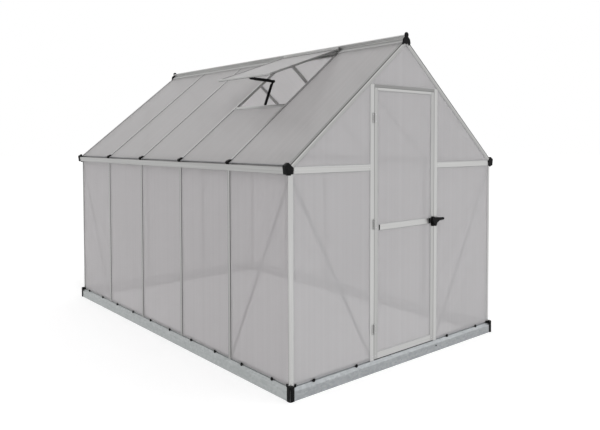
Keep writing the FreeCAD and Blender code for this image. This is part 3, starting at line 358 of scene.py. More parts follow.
@dataclass(frozen=True)
class PaintedLipAluminium(ExtrudedAluminium):
    """Rake bar, whose upright face is painted towards the crest as a lip with a groove above it.

    The lip is a painted highlight, the groove a painted shadow line, and the flanges painted shade.
    """

    crest: float = 2.0547  # height at which the slopes' outer faces meet
    face: float = 1.5300  # distance of the upright faces from the middle of the house
    face_play: float = 0.5 * MM
    leg: float = 28 * MM
    # groove and lip are painted, not modelled: a shadow line, then a highlight, from the outer face
    groove: float = 6 * MM
    lip: float = 13 * MM
    blur: float = 0.03  # of the leg, over which one band passes into the next
    # painted shade in the groove, painted highlight on the lip, painted shade on both flanges
    groove_shadow: str = "#787876"
    lip_highlight: str = "#FFFFFF"
    flange: str = "#E3E3E3"
    slope_flange: str = "#CCCCCC"

    def shade(self, tree: Tree, tone: Source) -> Source:
        """Paints shade on groove and flanges and a highlight on the lip, by distance from the outer
        face.

        Args:
            tree: Node tree of the material.
            tone: The streaked colour.

        Returns:
            The colour to use.
        """
        place = add_node(tree, "TexCoord").outputs["Object"]
        parts = add_node(tree, "SeparateXYZ", {0: place}).outputs
        side, end = (add_node(tree, "Math", {0: parts[k]}, operation="ABSOLUTE") for k in "XY")
        sine, cosine = math.sin(ROOF_PITCH), math.cos(ROOF_PITCH)
        lean = {0: side, 1: -sine, 2: self.crest * cosine}
        fall = {0: parts["Z"], 1: -cosine, 2: add_node(tree, "Math", lean, operation="MULTIPLY_ADD")}
        depth = add_node(tree, "Math", fall, operation="MULTIPLY_ADD")
        share = add_node(tree, "MapRange", {"Value": depth, "From Max": self.leg})
        start, stop = self.groove / self.leg, self.lip / self.leg
        stops = [(start, self.groove_shadow), (start + self.blur, self.lip_highlight)]
        stops += [(stop, self.lip_highlight), (stop + self.blur, self.flange)]
        bands = add_node(tree, "ValToRGB", {"Fac": share}, stops)
        limit = {0: end, 1: self.face - self.face_play}
        upright = add_node(tree, "Math", limit, operation="GREATER_THAN")
        faces = {0: upright, 6: linear(self.slope_flange), 7: bands}
        shape = add_node(tree, "Mix", faces, data_type="RGBA").outputs[2]
        whole = {0: 1.0, 6: tone, 7: shape}
        return add_node(tree, "Mix", whole, data_type="RGBA", blend_type="MULTIPLY").outputs[2]


@dataclass(frozen=True)
class GalvanisedSteel(Finish):
    """Folded steel strip, hot-dip galvanised before folding.

    The zinc froze in flat crystals about 11 mm across, each a slightly different blue-grey, and
    the rolls left faint streaks along the strip.
    """

    run: Run = Run.ALONG
    light: str = "#B4B7B7"
    mid: str = "#ACAFAF"
    dark: str = "#A3A7A7"
    crystal: float = 11 * MM
    stretch: float = 1.6  # crystals are this much longer along the strip
    streak: float = 260 * MM
    relief: Pair = (0.1, 0.3 * MM)  # strength and depth of the bump
    lift: float = 0.25
    rough: Pair = (0.40, 0.56)

    def surface(self, tree: Tree) -> Node:
        """Builds zinc spangle and rolling streaks on a metal.

        Args:
            tree: Empty node tree of the material.

        Returns:
            The shader.
        """
        place = drawn_coordinates(tree, self.run, self.crystal * self.stretch, self.crystal)
        crystals = add_node(tree, "TexVoronoi", {"Vector": place, "Scale": 1.0}).outputs["Color"]
        parts = add_node(tree, "SeparateColor", {"Color": crystals}).outputs
        rolled = drawn_coordinates(tree, self.run, self.streak, self.crystal)
        streaks = add_node(tree, "TexNoise", {"Vector": rolled, "Scale": 1.0, "Detail": 2.0})
        product = {0: parts["Red"], 1: streaks, 2: self.lift}
        mixed = add_node(tree, "Math", product, operation="MULTIPLY_ADD")
        stops = [(0.2, self.dark), (0.5, self.mid), (0.85, self.light)]
        tone = add_node(tree, "ValToRGB", {"Fac": mixed}, stops)
        inputs = {"Base Color": tone, "Metallic": 1.0}
        rough = (parts["Green"], *self.rough)
        return follow_patterns(tree, inputs, rough, (streaks, *self.relief))


@dataclass(frozen=True)
class TwinWallPolycarbonate(Finish):
    """Extruded twin-wall polycarbonate: two thin clear skins held apart by webs.

    The webs and the air between the skins scatter light, so the sheet reads as a milky grey
    that glows with the light behind it, and what stands behind it shows faintly. The webs draw
    fine lines along the flutes.
    """

    run: Run = Run.UP
    web: str = "#C4C2C3"
    skin: str = "#C0BEBF"
    lit_through: str = "#F2F0F1"
    flute: float = 24 * MM  # real webs stand 6 mm apart, drawn wider so that they show
    flute_length: float = 6.0
    relief: Pair = (0.08, 0.4 * MM)  # strength and depth of the bump
    cloud: float = 420 * MM
    cloud_share: float = 0.45
    clear: float = 0.53
    milky: float = 0.58
    glow: float = 0.35
    roughness: float = 0.24
    ior: float = 1.58

    def surface(self, tree: Tree) -> Node:
        """Builds fluted, see-through skins and the light that comes through them.

        Args:
            tree: Empty node tree of the material.

        Returns:
            The shader.
        """
        place = drawn_coordinates(tree, self.run, self.flute_length, self.flute)
        grain = {"Vector": place, "Scale": 1.0, "Detail": 2.0, "Roughness": 0.7}
        webs = add_node(tree, "TexNoise", grain)
        drift = drawn_coordinates(tree, self.run, self.cloud * 2, self.cloud)
        clouds = add_node(tree, "TexNoise", {"Vector": drift, "Scale": 1.0, "Detail": 1.0})
        both = {"Factor": self.cloud_share, "A": webs, "B": clouds}
        mixed = add_node(tree, "Mix", both, data_type="FLOAT")
        tone = add_node(tree, "ValToRGB", {"Fac": mixed}, [(0.35, self.skin), (0.65, self.web)])
        cover = {"Value": webs, "From Min": 0.3, "From Max": 0.7}
        cover |= {"To Min": self.clear, "To Max": self.milky}  # more of it stops light at the webs
        relief = {"Height": webs, "Strength": self.relief[0], "Distance": self.relief[1]}
        inputs = {
            "Base Color": tone,
            "Roughness": self.roughness,
            "IOR": self.ior,
            "Alpha": add_node(tree, "MapRange", cover),
            "Normal": add_node(tree, "Bump", relief),
        }
        skins = add_node(tree, "BsdfPrincipled", inputs)
        through = add_node(tree, "BsdfTranslucent", {"Color": linear(self.lit_through)})
        return add_node(tree, "MixShader", {0: self.glow, 1: skins, 2: through})


def drawn_each_way(kind: type[Finish], name: str, *colours: str) -> dict[Run, Finish]:
    """Gives one finish for each direction of drawing.

    Args:
        kind: Class of the finish.
        name: Start of its name.
        *colours: Its colours, where they aren't the class's own.

    Returns:
        The finishes by direction.
    """
    return {run: kind(f"{name}_{run.value}", run, *colours) for run in Run}


# painted light: the colours of the lit copy of the aluminium, lighter where a piece should look lit
LIT = ("#C6C6C5", "#B4B4B3")
ALUMINIUM = drawn_each_way(ExtrudedAluminium, "extruded_aluminium")
# painted shade: a darker copy of the aluminium, differing only in colour, for side bars, gutters and the
# vent's bottom bar
SHADE_PAINTED = drawn_each_way(ExtrudedAluminium, "satin_aluminium", "#ABABAA", "#999998")
# painted light: a lighter copy of the aluminium, for posts, jambs, rails, the vent's hinge bar and the
# right-hand roof bars
LIGHT_PAINTED = drawn_each_way(ExtrudedAluminium, "bright_aluminium", *LIT)
# painted shade: a still darker copy of the aluminium, for the door's lintel and the vent's side bars
SHADED = drawn_each_way(ExtrudedAluminium, "weathered_aluminium", "#9A9A99", "#868685")
# painted highlight and shade in bands along the rakes' crest
RAKE = PaintedLipAluminium("painted_lip_aluminium", Run.SLOPE, *LIT)
# matt aluminium, its colour painted lighter to lift the shade on the ridge's lower parts
MATT_LIGHTENED = ExtrudedAluminium("matt_lightened_aluminium_ridge", Run.ALONG, "#D0D0CF", "#BEBEBD", (0.64, 0.50))
WALL_SHEET = TwinWallPolycarbonate("twin_wall_polycarbonate_walls")
GABLE_SHEET = TwinWallPolycarbonate(
    "twin_wall_polycarbonate_gables", Run.UP, "#C7C6C7", "#C3C2C3", "#F4F3F4"
)
# painted shade: the roof's sheets are a darker copy of the walls', against the stronger light on the
# slopes
ROOF_SHEET = TwinWallPolycarbonate(
    "twin_wall_polycarbonate_roof", Run.SLOPE, "#B0AFAE", "#ACABAA", clear=0.62, milky=0.68
)
GALVANISED = drawn_each_way(GalvanisedSteel, "galvanised_steel")
# painted shade: a darker copy of the galvanised steel, for the base's front and rear rails
SHADED_STEEL = GalvanisedSteel("shade_painted_galvanised_steel", Run.ACROSS, "#A7AAAC", "#A0A3A5", "#989B9D")
# painted light: a lighter copy of the galvanised steel, so that the braces read light behind the sheets
BRACE_STRIP = GalvanisedSteel("lightened_galvanised_strip", Run.UP, "#E2E3E3", "#DADBDB", "#D0D2D2")
RUBBER = drawn_each_way(EpdmRubber, "epdm_rubber")
# painted light: a light grey copy of the rubber, which offsets the shade in the gaps where it lies
GASKET = drawn_each_way(EpdmRubber, "grey_epdm_rubber", "#B0B0B1", "#A2A2A3")
RESIN = MouldedResin("moulded_resin")
# painted shade: the channel's mid grey stands in for the shadow line under the roof sheets' ends
TAPE = MouldedResin("shade_grey_moulded_channel", light="#98989A", dark="#8C8C8E")
ZINC = ZincPlatedSteel("zinc_plated_steel")
# painted shade: a dark copy of the zinc, which paints the screw as if shaded
SHADE_DARK_ZINC = ZincPlatedSteel("shade_darkened_zinc", light="#4C4E50", dark="#2F3133")
COATED = PowderCoatedSteel("powder_coated_steel")


def paint(finish: Finish, *nodes: str) -> None:
    """Gives pieces of the frame their finish.

    Args:
        finish: The finish.
        *nodes: Names of the pieces.
    """
    for name in nodes:
        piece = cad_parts[name]
        if not piece.material_slots:
            piece.data.materials.append(None)
        for slot in piece.material_slots:
            slot.material = finish.material()
        LOG.info("%s wears %s", name, finish.name)


# --- new pieces ---------------------------------------------------------------------------------


def rightwards(by: float) -> Vector:
    """Gives a vector along X."""
    return Vector((by, 0.0, 0.0))


def rearwards(by: float) -> Vector:
    """Gives a vector along Y."""
    return Vector((0.0, by, 0.0))


def upwards(by: float) -> Vector:
    """Gives a vector along Z."""
    return Vector((0.0, 0.0, by))


@dataclass(frozen=True)
class House:
    """Sizes of the frame that the fixings and seals are placed by."""

    half_width: float = 925 * MM
    half_length: float = 1530 * MM
    eave_height: float = 1284 * MM
    eave_bottom: float = 1234 * MM  # the gable rails' underside too
    rail_height: float = 35 * MM
    rail_end: float = 898.5 * MM  # gable rails reach this far from the middle
    sheet_foot: float = 76 * MM
    sheet_in: float = 1.9 * MM  # sheets lie this far inside the bars' outer faces
    bay: float = 612 * MM
    bar_half: float = 11 * MM
    corner_leg: float = 20 * MM
    rake_leg: float = 28 * MM
    jamb_in: float = 284 * MM
    jamb_out: float = 316 * MM
    jamb_top: float = 1754.5 * MM
    rear_post: float = 300 * MM
    roof_sheet_end: float = 1209.2 * MM  # lower edge of the roof sheets, down the slope
    ridge_flange: float = 38 * MM
    sill_end: float = 646 * MM
    vent_start: float = -926 * MM
    vent_end: float = -298 * MM
    vent_hinge: Pair = (-15 * MM, 2070.7 * MM)
    vent_angle: float = math.radians(20)  # at which the vent stands open

    @property
    def bar_lines(self) -> list[float]:
        """Y of the four bars along each side."""
        return [(step - 1.5) * self.bay for step in range(4)]

    @property
    def apex(self) -> float:
        """Height at which the two slopes' outer faces would meet."""
        return self.eave_height + self.half_width * math.tan(ROOF_PITCH)

    def wall(self, side: int, depth: float, y: float, z: float) -> Vector:
        """Point at a depth inside a side wall's outer face; side is -1 for the left."""
        return Vector((side * (self.half_width - depth), y, z))

    def gable(self, end: int, x: float, depth: float, z: float) -> Vector:
        """Point at a depth inside a gable's outer face; end is -1 for the door gable."""
        return Vector((x, end * (self.half_length - depth), z))

    def roof(self, side: int, down: float, off: float, y: float) -> Vector:
        """Gives a point over a slope.

        Args:
            side: LEFT, or 1 for the right.
            down: How far it lies down the slope from the apex.
            off: How far it lies outside the slope's outer face.
            y: How far it lies along the house.

        Returns:
            The point.
        """
        across = down * math.cos(ROOF_PITCH) + off * math.sin(ROOF_PITCH)
        height = self.apex - down * math.sin(ROOF_PITCH) + off * math.cos(ROOF_PITCH)
        return Vector((side * across, y, height))

    def roof_out(self, side: int) -> Vector:
        """Direction straight off a slope."""
        return Vector((side * math.sin(ROOF_PITCH), 0.0, math.cos(ROOF_PITCH)))

    def roof_down(self, side: int) -> Vector:
        """Direction straight down a slope."""
        return Vector((side * math.cos(ROOF_PITCH), 0.0, -math.sin(ROOF_PITCH)))

    def under_rake(self, x: float) -> float:
        """Height of the rakes' lower edge on a gable, at a distance from the middle."""
        rise = (self.half_width - abs(x)) * math.tan(ROOF_PITCH)
        return self.eave_height + rise - self.rake_leg / math.cos(ROOF_PITCH)

    def open_vent(self) -> Matrix:
        """Gives the turn that takes the shut vent to the angle at which it stands.

        Returns:
            The turn about the vent's hinge line.
        """
        hinge = Vector((self.vent_hinge[0], 0.0, self.vent_hinge[1]))
        turn = Matrix.Rotation(self.vent_angle, 4, "Y")
        return Matrix.Translation(hinge) @ turn @ Matrix.Translation(-hinge)


HOUSE = House()
LEFT = FRONT = -1
REAR = 1
BOTH = (-1, 1)
INWARDS = (1, -1)  # the ways from a span's start and from its end towards its middle
WEDGE_GASKET = [(0.0, 0.0), (3.2, 0.0), (3.1, 0.5), (2.0, 1.3), (0.0, 1.7)]
GASKET_ROOM = 3.4 * MM  # a wedge gasket's width and the gap beside it
GASKET_FOOT = 8.5 * MM  # upright gaskets start this far above the sheets' feet
GASKET_GAP = 0.5 * MM  # gaskets stop this far short of a rail
CORNER_TUCK = 3.3 * MM  # two of the gaskets round a sheet stop this far short of its corners
SHARP_ANGLE = math.radians(32)


def raise_face(shape: Shape, face: Face, by: Vector) -> Face:
    """Extrudes one face.

    Args:
        shape: Mesh of the face.
        face: The face.
        by: How far the new face moves.

    Returns:
        The moved face.
    """
    grown = bmesh.ops.extrude_face_region(shape, geom=[face])["geom"]
    tips = [part for part in grown if isinstance(part, bmesh.types.BMVert)]
    bmesh.ops.translate(shape, vec=by, verts=tips)
    return next(part for part in grown if isinstance(part, Face))


def ease_rim(shape: Shape, face: Face, width: float) -> None:
    """Rounds the edges of a face over.

    Args:
        shape: Mesh of the face.
        face: The face.
        width: How far the rounding reaches from the edges.
    """
    style = {"affect": "EDGES", "offset_type": "OFFSET", "segments": 2, "profile": 0.5}
    bmesh.ops.bevel(shape, geom=list(face.edges), offset=width, material=-1, **style)


def lay_strips(outline: Sequence[Pair], strips: Iterable[Strip]) -> Shape:
    """Models straight strips of one section.

    Args:
        outline: Corners of the section in millimetres, as (across, outwards) pairs.
        strips: Where each strip starts and ends, and the directions of the outline's two numbers.

    Returns:
        One mesh of all the strips.
    """
    shape = bmesh.new()
    for (start, end), across, outwards in strips:
        corners = [start + (across * a + outwards * b) * MM for a, b in outline]
        ring = [shape.verts.new(corner) for corner in corners]
        raise_face(shape, shape.faces.new(ring), end - start)
    return shape


def strips_round(
    place: Callable[[float, float], Vector],
    spans: tuple[Pair, Pair],
    ways: tuple[Vector, Vector],
    out: Vector,
) -> list[Strip]:
    """Gives the gaskets round a four-cornered sheet.

    Args:
        place: Gives the point at two measures along the sheet's sides.
        spans: Start and end of each measure.
        ways: Direction in which each measure grows.
        out: Direction off the sheet.

    Returns:
        The two strips between the first measure's ends, then the two between the second's.
    """
    first, second = spans
    strips = [
        ([place(edge, end) for end in second], ways[0] * step, out)
        for edge, step in zip(first, INWARDS)
    ]
    short = [end + step * CORNER_TUCK for end, step in zip(first, INWARDS)]
    strips += [
        ([place(end, edge) for end in short], ways[1] * step, out)
        for edge, step in zip(second, INWARDS)
    ]
    return strips


def add_stud(shape: Shape, sides: int, radius: float, low: float, high: float, ease: float) -> Face:
    """Adds a many-sided stud along Z, its top edge eased.

    Args:
        shape: Mesh that takes the stud.
        sides: Number of sides.
        radius: Radius over its corners.
        low: Z of its foot.
        high: Z of its top.
        ease: Width of the bevel round the top.

    Returns:
        The top face.
    """
    place = Matrix.Translation(upwards(low)) @ Matrix.Rotation(math.pi / sides, 4, "Z")
    made = bmesh.ops.create_circle(shape, cap_ends=True, segments=sides, radius=radius, matrix=place)
    top = raise_face(shape, made["verts"][0].link_faces[0], upwards(high - low))
    ease_rim(shape, top, ease)
    return max(shape.faces, key=lambda face: (round(face.calc_center_median().z, 6), face.calc_area()))


def pan_screw(radius: float) -> Shape:
    """Models a pan-head screw with a cross recess, facing +Z from Z = 0.

    Args:
        radius: Radius of its head.

    Returns:
        The mesh.
    """
    height, ease, rim, recess = (radius * share for share in (0.62, 0.3, 0.12, 0.35))
    pinch = 0.38
    shape = bmesh.new()
    top = add_stud(shape, 12, radius, 0.0, height, ease)
    bmesh.ops.inset_region(shape, faces=[top], thickness=rim)
    for vertex in top.verts:  # the ring of twelve becomes the outline of a cross
        if 40 < math.degrees(math.atan2(vertex.co.y, vertex.co.x)) % 90 < 50:
            vertex.co.x *= pinch
            vertex.co.y *= pinch
    raise_face(shape, top, upwards(-recess))
    return shape


def nut_and_bolt() -> Shape:
    """Models an M6 nut on its washer with the bolt's end through it, facing +Z from Z = 0.

    Returns:
        The mesh.
    """
    shape = bmesh.new()
    washer, nut, bolt = (12, 6.2, 0.0, 1.2, 0.2), (6, 5.77, 1.2, 6.0, 0.5), (8, 3.0, 6.0, 8.0, 0.5)
    for sides, *sizes in (washer, nut, bolt):
        add_stud(shape, sides, *(size * MM for size in sizes))
    return shape


def repeat(part: Shape, spots: Iterable[Spot]) -> Shape:
    """Sets copies of a part that faces +Z at several spots.

    Args:
        part: The part, which is freed.
        spots: Each copy's point and the direction that it faces.

    Returns:
        One mesh of all the copies.
    """
    pattern = bpy.data.meshes.new("pattern")
    part.to_mesh(pattern)
    part.free()
    whole = bmesh.new()
    for at, out in spots:
        before = len(whole.verts)
        whole.from_mesh(pattern)
        whole.verts.ensure_lookup_table()
        place = Matrix.Translation(at) @ out.to_track_quat("Z", "Y").to_matrix().to_4x4()
        bmesh.ops.transform(whole, matrix=place, verts=whole.verts[before:])
    bpy.data.meshes.remove(pattern)
    return whole


def add_piece(name: str, shape: Shape, body: str, finish: Finish) -> None:
    """Makes a finished piece of a mesh.

    Args:
        name: Name of the piece.
        shape: Its mesh, which is freed.
        body: Body that it moves with.
        finish: Its finish.
    """
    bmesh.ops.recalc_face_normals(shape, faces=shape.faces)
    mesh = bpy.data.meshes.new(name)
    shape.to_mesh(mesh)
    shape.free()
    mesh.polygons.foreach_set("use_smooth", [True] * len(mesh.polygons))
    mesh.set_sharp_from_angle(angle=SHARP_ANGLE)
    mesh.materials.append(finish.material())
    piece = bpy.data.objects.new(name, mesh)
    bpy.context.scene.collection.objects.link(piece)
    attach(piece, body)
    LOG.info("%s: %d faces, rides on %s", name, len(mesh.polygons), body)


def add_gaskets(name: str, strips: Iterable[Strip], finish: Finish, body: str = "frame") -> None:
    """Adds a set of wedge gaskets as one piece.

    Args:
        name: Name of the piece.
        strips: Each gasket's ends and directions.
        finish: Its rubber.
        body: Body that they move with.
    """
    add_piece(name, lay_strips(WEDGE_GASKET, strips), body, finish)


def add_screws(
    name: str, spots: Iterable[Spot], radius: float, body: str = "frame", black: bool = False
) -> None:
    """Adds a set of pan-head screws as one piece.

    Args:
        name: Name of the piece.
        spots: Each screw's point and the direction that it faces.
        radius: Radius of the heads.
        body: Body that they move with.
        black: Coated black, as on the resin pieces, or else bright zinc.
    """
    slot, finish = ("black_coated_steel", COATED) if black else ("zinc_plated_steel", ZINC)
    add_piece(name, repeat(pan_screw(radius), spots), body, finish)


def add_nuts(name: str, spots: Iterable[Spot]) -> None:
    """Adds a set of nuts with their bolts' ends as one piece of the frame.

    Args:
        name: Name of the piece.
        spots: Each nut's point and the direction that it faces.
    """
    add_piece(name, repeat(nut_and_bolt(), spots), "frame", ZINC)


# --- sub-assemblies -----------------------------------------------------------------------------


@dataclass
class BaseFrame:
    """Pressed steel base, its corner caps, and the buttons that hold the sheets' feet."""

    cap_face: float = 19.3 * MM  # the caps stand this far outside the walls
    cap_screw: float = 3.4 * MM
    cap_screw_in: float = 21 * MM
    cap_screw_height: float = 30 * MM
    bracket_width: float = 20 * MM
    bracket_x: float = 900 * MM  # from where the bracket's outline is measured
    nut_x: float = 903 * MM
    nut_height: float = 125 * MM

    def build(self) -> None:
        """Adds the caps' screws, and the brackets that tie the bars' feet to the base."""
        add_screws("cap_screws", self.cap_screw_spots(), self.cap_screw, black=True)
        outline = [(17.1, 73.5), (17.1, 78.5), (5.0, 89.3), (5.0, 150.0)]
        outline += [(3.0, 150.0), (3.0, 88.3), (15.1, 77.5), (15.1, 73.5)]
        brackets, nuts = [], []
        for side in BOTH:
            for y in HOUSE.bar_lines:
                start = Vector((side * self.bracket_x, y - self.bracket_width / 2, 0.0))
                ends = (start, start + rearwards(self.bracket_width))
                brackets.append((ends, rightwards(side), upwards(1.0)))
                nuts.append((Vector((side * self.nut_x, y, self.nut_height)), rightwards(-side)))
        shape = lay_strips(outline, brackets)
        add_piece("bar_foot_brackets", shape, "frame", GALVANISED[Run.UP])
        add_nuts("bar_foot_nuts", nuts)

    def cap_screw_spots(self) -> list[Spot]:
        """Gives one spot on each cap's side face, and one on each front cap's front face.

        Returns:
            The spots.
        """
        x, y = HOUSE.half_width + self.cap_face, HOUSE.half_length + self.cap_face
        inner_x, inner_y, z = x - self.cap_screw_in, y - self.cap_screw_in, self.cap_screw_height
        spots = []
        for side in BOTH:
            for end in BOTH:
                spots.append((Vector((side * x, end * inner_y, z)), rightwards(side)))
                if end == FRONT:  # nothing stands proud of the rear caps, the house's hindmost face
                    spots.append((Vector((side * inner_x, end * y, z)), rearwards(end)))
        return spots

    def dress(self) -> None:
        """Finishes the base's pieces."""
        paint(GALVANISED[Run.ALONG], "base_rail_left", "base_rail_right")
        # painted shade on the front and rear rails
        paint(SHADED_STEEL, "base_rail_front", "base_rail_rear")
        paint(RESIN, "base_corner_caps", "sheet_buttons")
        # painted shade on the screw
        paint(SHADE_DARK_ZINC, "base_screw")


@dataclass
class Walls:
    """Posts, bars, sheets, braces and eaves of the two long sides."""

    plate_width: float = 20 * MM
    plate_leg: float = 60 * MM
    plate_thickness: float = 2.5 * MM
    plate_foot: float = 1175 * MM
    plate_knee: Pair = (905 * MM, 1274.7 * MM)  # outer corner of its bend
    plate_fold: Pair = (902.5 * MM, 1273.6 * MM)  # inner corner of its bend
    nut_heights: tuple[float, ...] = (1190 * MM, 1222 * MM)
    nut_steps: tuple[float, ...] = (20 * MM, 48 * MM)  # up the slope from the bend
    brace_face: float = 10.1 * MM  # depth of the braces' inner faces
    brace_top: float = 1210 * MM
    brace_foot: float = 103 * MM
    side_brace: tuple[float, float, float] = (1517 * MM, 938 * MM, 12 * MM)  # top, foot, to its nut
    front_brace: tuple[float, float, float] = (912 * MM, 315 * MM, 32 * MM)
    rear_brace: tuple[float, float, float] = (912 * MM, 320 * MM, 32 * MM)
    foot_nut: float = 14 * MM
    cap_face: float = 4.3 * MM  # the eave caps stand this far outside the gables
    cap_screw: float = 3.2 * MM
    cap_screw_at: Pair = (940 * MM, 1258 * MM)

    def build(self) -> None:
        """Adds gaskets, the bent plates under the eaves, and the braces' nuts."""
        self.add_wall_gaskets()
        self.add_eave_plates()
        add_nuts("brace_nuts", self.brace_spots())
        x, z = self.cap_screw_at
        spots = [
            (HOUSE.gable(end, side * x, -self.cap_face, z), rearwards(end))
            for side in BOTH
            for end in BOTH
        ]
        add_screws("eave_cap_screws", spots, self.cap_screw, black=True)

    def add_wall_gaskets(self) -> None:
        """Adds a wedge gasket beside every edge of a bar or post that holds a sheet."""
        edges = [(y + step * HOUSE.bar_half, step) for y in HOUSE.bar_lines for step in BOTH]
        edges += [(end * (HOUSE.half_length - HOUSE.corner_leg), -end) for end in BOTH]
        span = (HOUSE.sheet_foot + GASKET_FOOT, HOUSE.eave_bottom - GASKET_GAP)
        strips = []
        for side in BOTH:
            for y, step in edges:
                ends = [HOUSE.wall(side, HOUSE.sheet_in, y, z) for z in span]
                strips.append((ends, rearwards(step), rightwards(side)))
        add_gaskets("wall_gaskets", strips, RUBBER[Run.UP])

    def add_eave_plates(self) -> None:
        """Adds the bent plate that ties each side bar to the roof bar above it, with its nuts."""
        shape, nuts = bmesh.new(), []
        for side in BOTH:
            down, out = HOUSE.roof_down(side), HOUSE.roof_out(side)
            knee, fold = (Vector((side * x, 0.0, z)) for x, z in (self.plate_knee, self.plate_fold))
            thick, tip = out * self.plate_thickness, knee - down * self.plate_leg
            feet = [Vector((corner.x, 0.0, self.plate_foot)) for corner in (knee, fold)]
            corners = [feet[0], knee, tip, tip - thick, fold, feet[1]]
            for y in HOUSE.bar_lines:
                lift = rearwards(y - self.plate_width / 2)
                face = shape.faces.new([shape.verts.new(corner + lift) for corner in corners])
                raise_face(shape, face, rearwards(self.plate_width))
                nuts += [(Vector((fold.x, y, z)), rightwards(-side)) for z in self.nut_heights]
                nuts += [(knee - down * step - thick + rearwards(y), -out) for step in self.nut_steps]
        add_piece("eave_plates", shape, "frame", GALVANISED[Run.UP])
        add_nuts("eave_plate_nuts", nuts)

    def brace_spots(self) -> list[Spot]:
        """Gives the spots near both ends of each diagonal brace.

        Returns:
            The spots, on the braces' inner faces.
        """
        spots = []
        depth = self.brace_face
        for brace, gable in ((self.side_brace, 0), (self.front_brace, FRONT), (self.rear_brace, REAR)):
            top, foot, step = brace
            head, low = Vector((top, self.brace_top)), Vector((foot, self.brace_foot))
            slant = (low - head).normalized()
            for across, z in (head + slant * step, low - slant * self.foot_nut):
                if gable:
                    places = [HOUSE.gable(gable, side * across, depth, z) for side in BOTH]
                    spots += [(place, rearwards(-gable)) for place in places]
                    continue
                for end in BOTH:
                    places = [(HOUSE.wall(side, depth, end * across, z), side) for side in BOTH]
                    spots += [(place, rightwards(-side)) for place, side in places]
        return spots

    def dress(self) -> None:
        """Finishes the walls' pieces."""
        # painted light on the corner posts, painted shade on the side bars and gutters
        paint(LIGHT_PAINTED[Run.UP], "corner_posts_front", "corner_posts_rear")
        paint(SHADE_PAINTED[Run.UP], "side_bars_left", "side_bars_right")
        paint(SHADE_PAINTED[Run.ALONG], "eave_gutter_left", "eave_gutter_right")
        # painted light on the braces
        paint(BRACE_STRIP, "wall_braces")
        paint(RESIN, "eave_corner_caps")
        paint(WALL_SHEET, "side_panels_left", "side_panels_right")


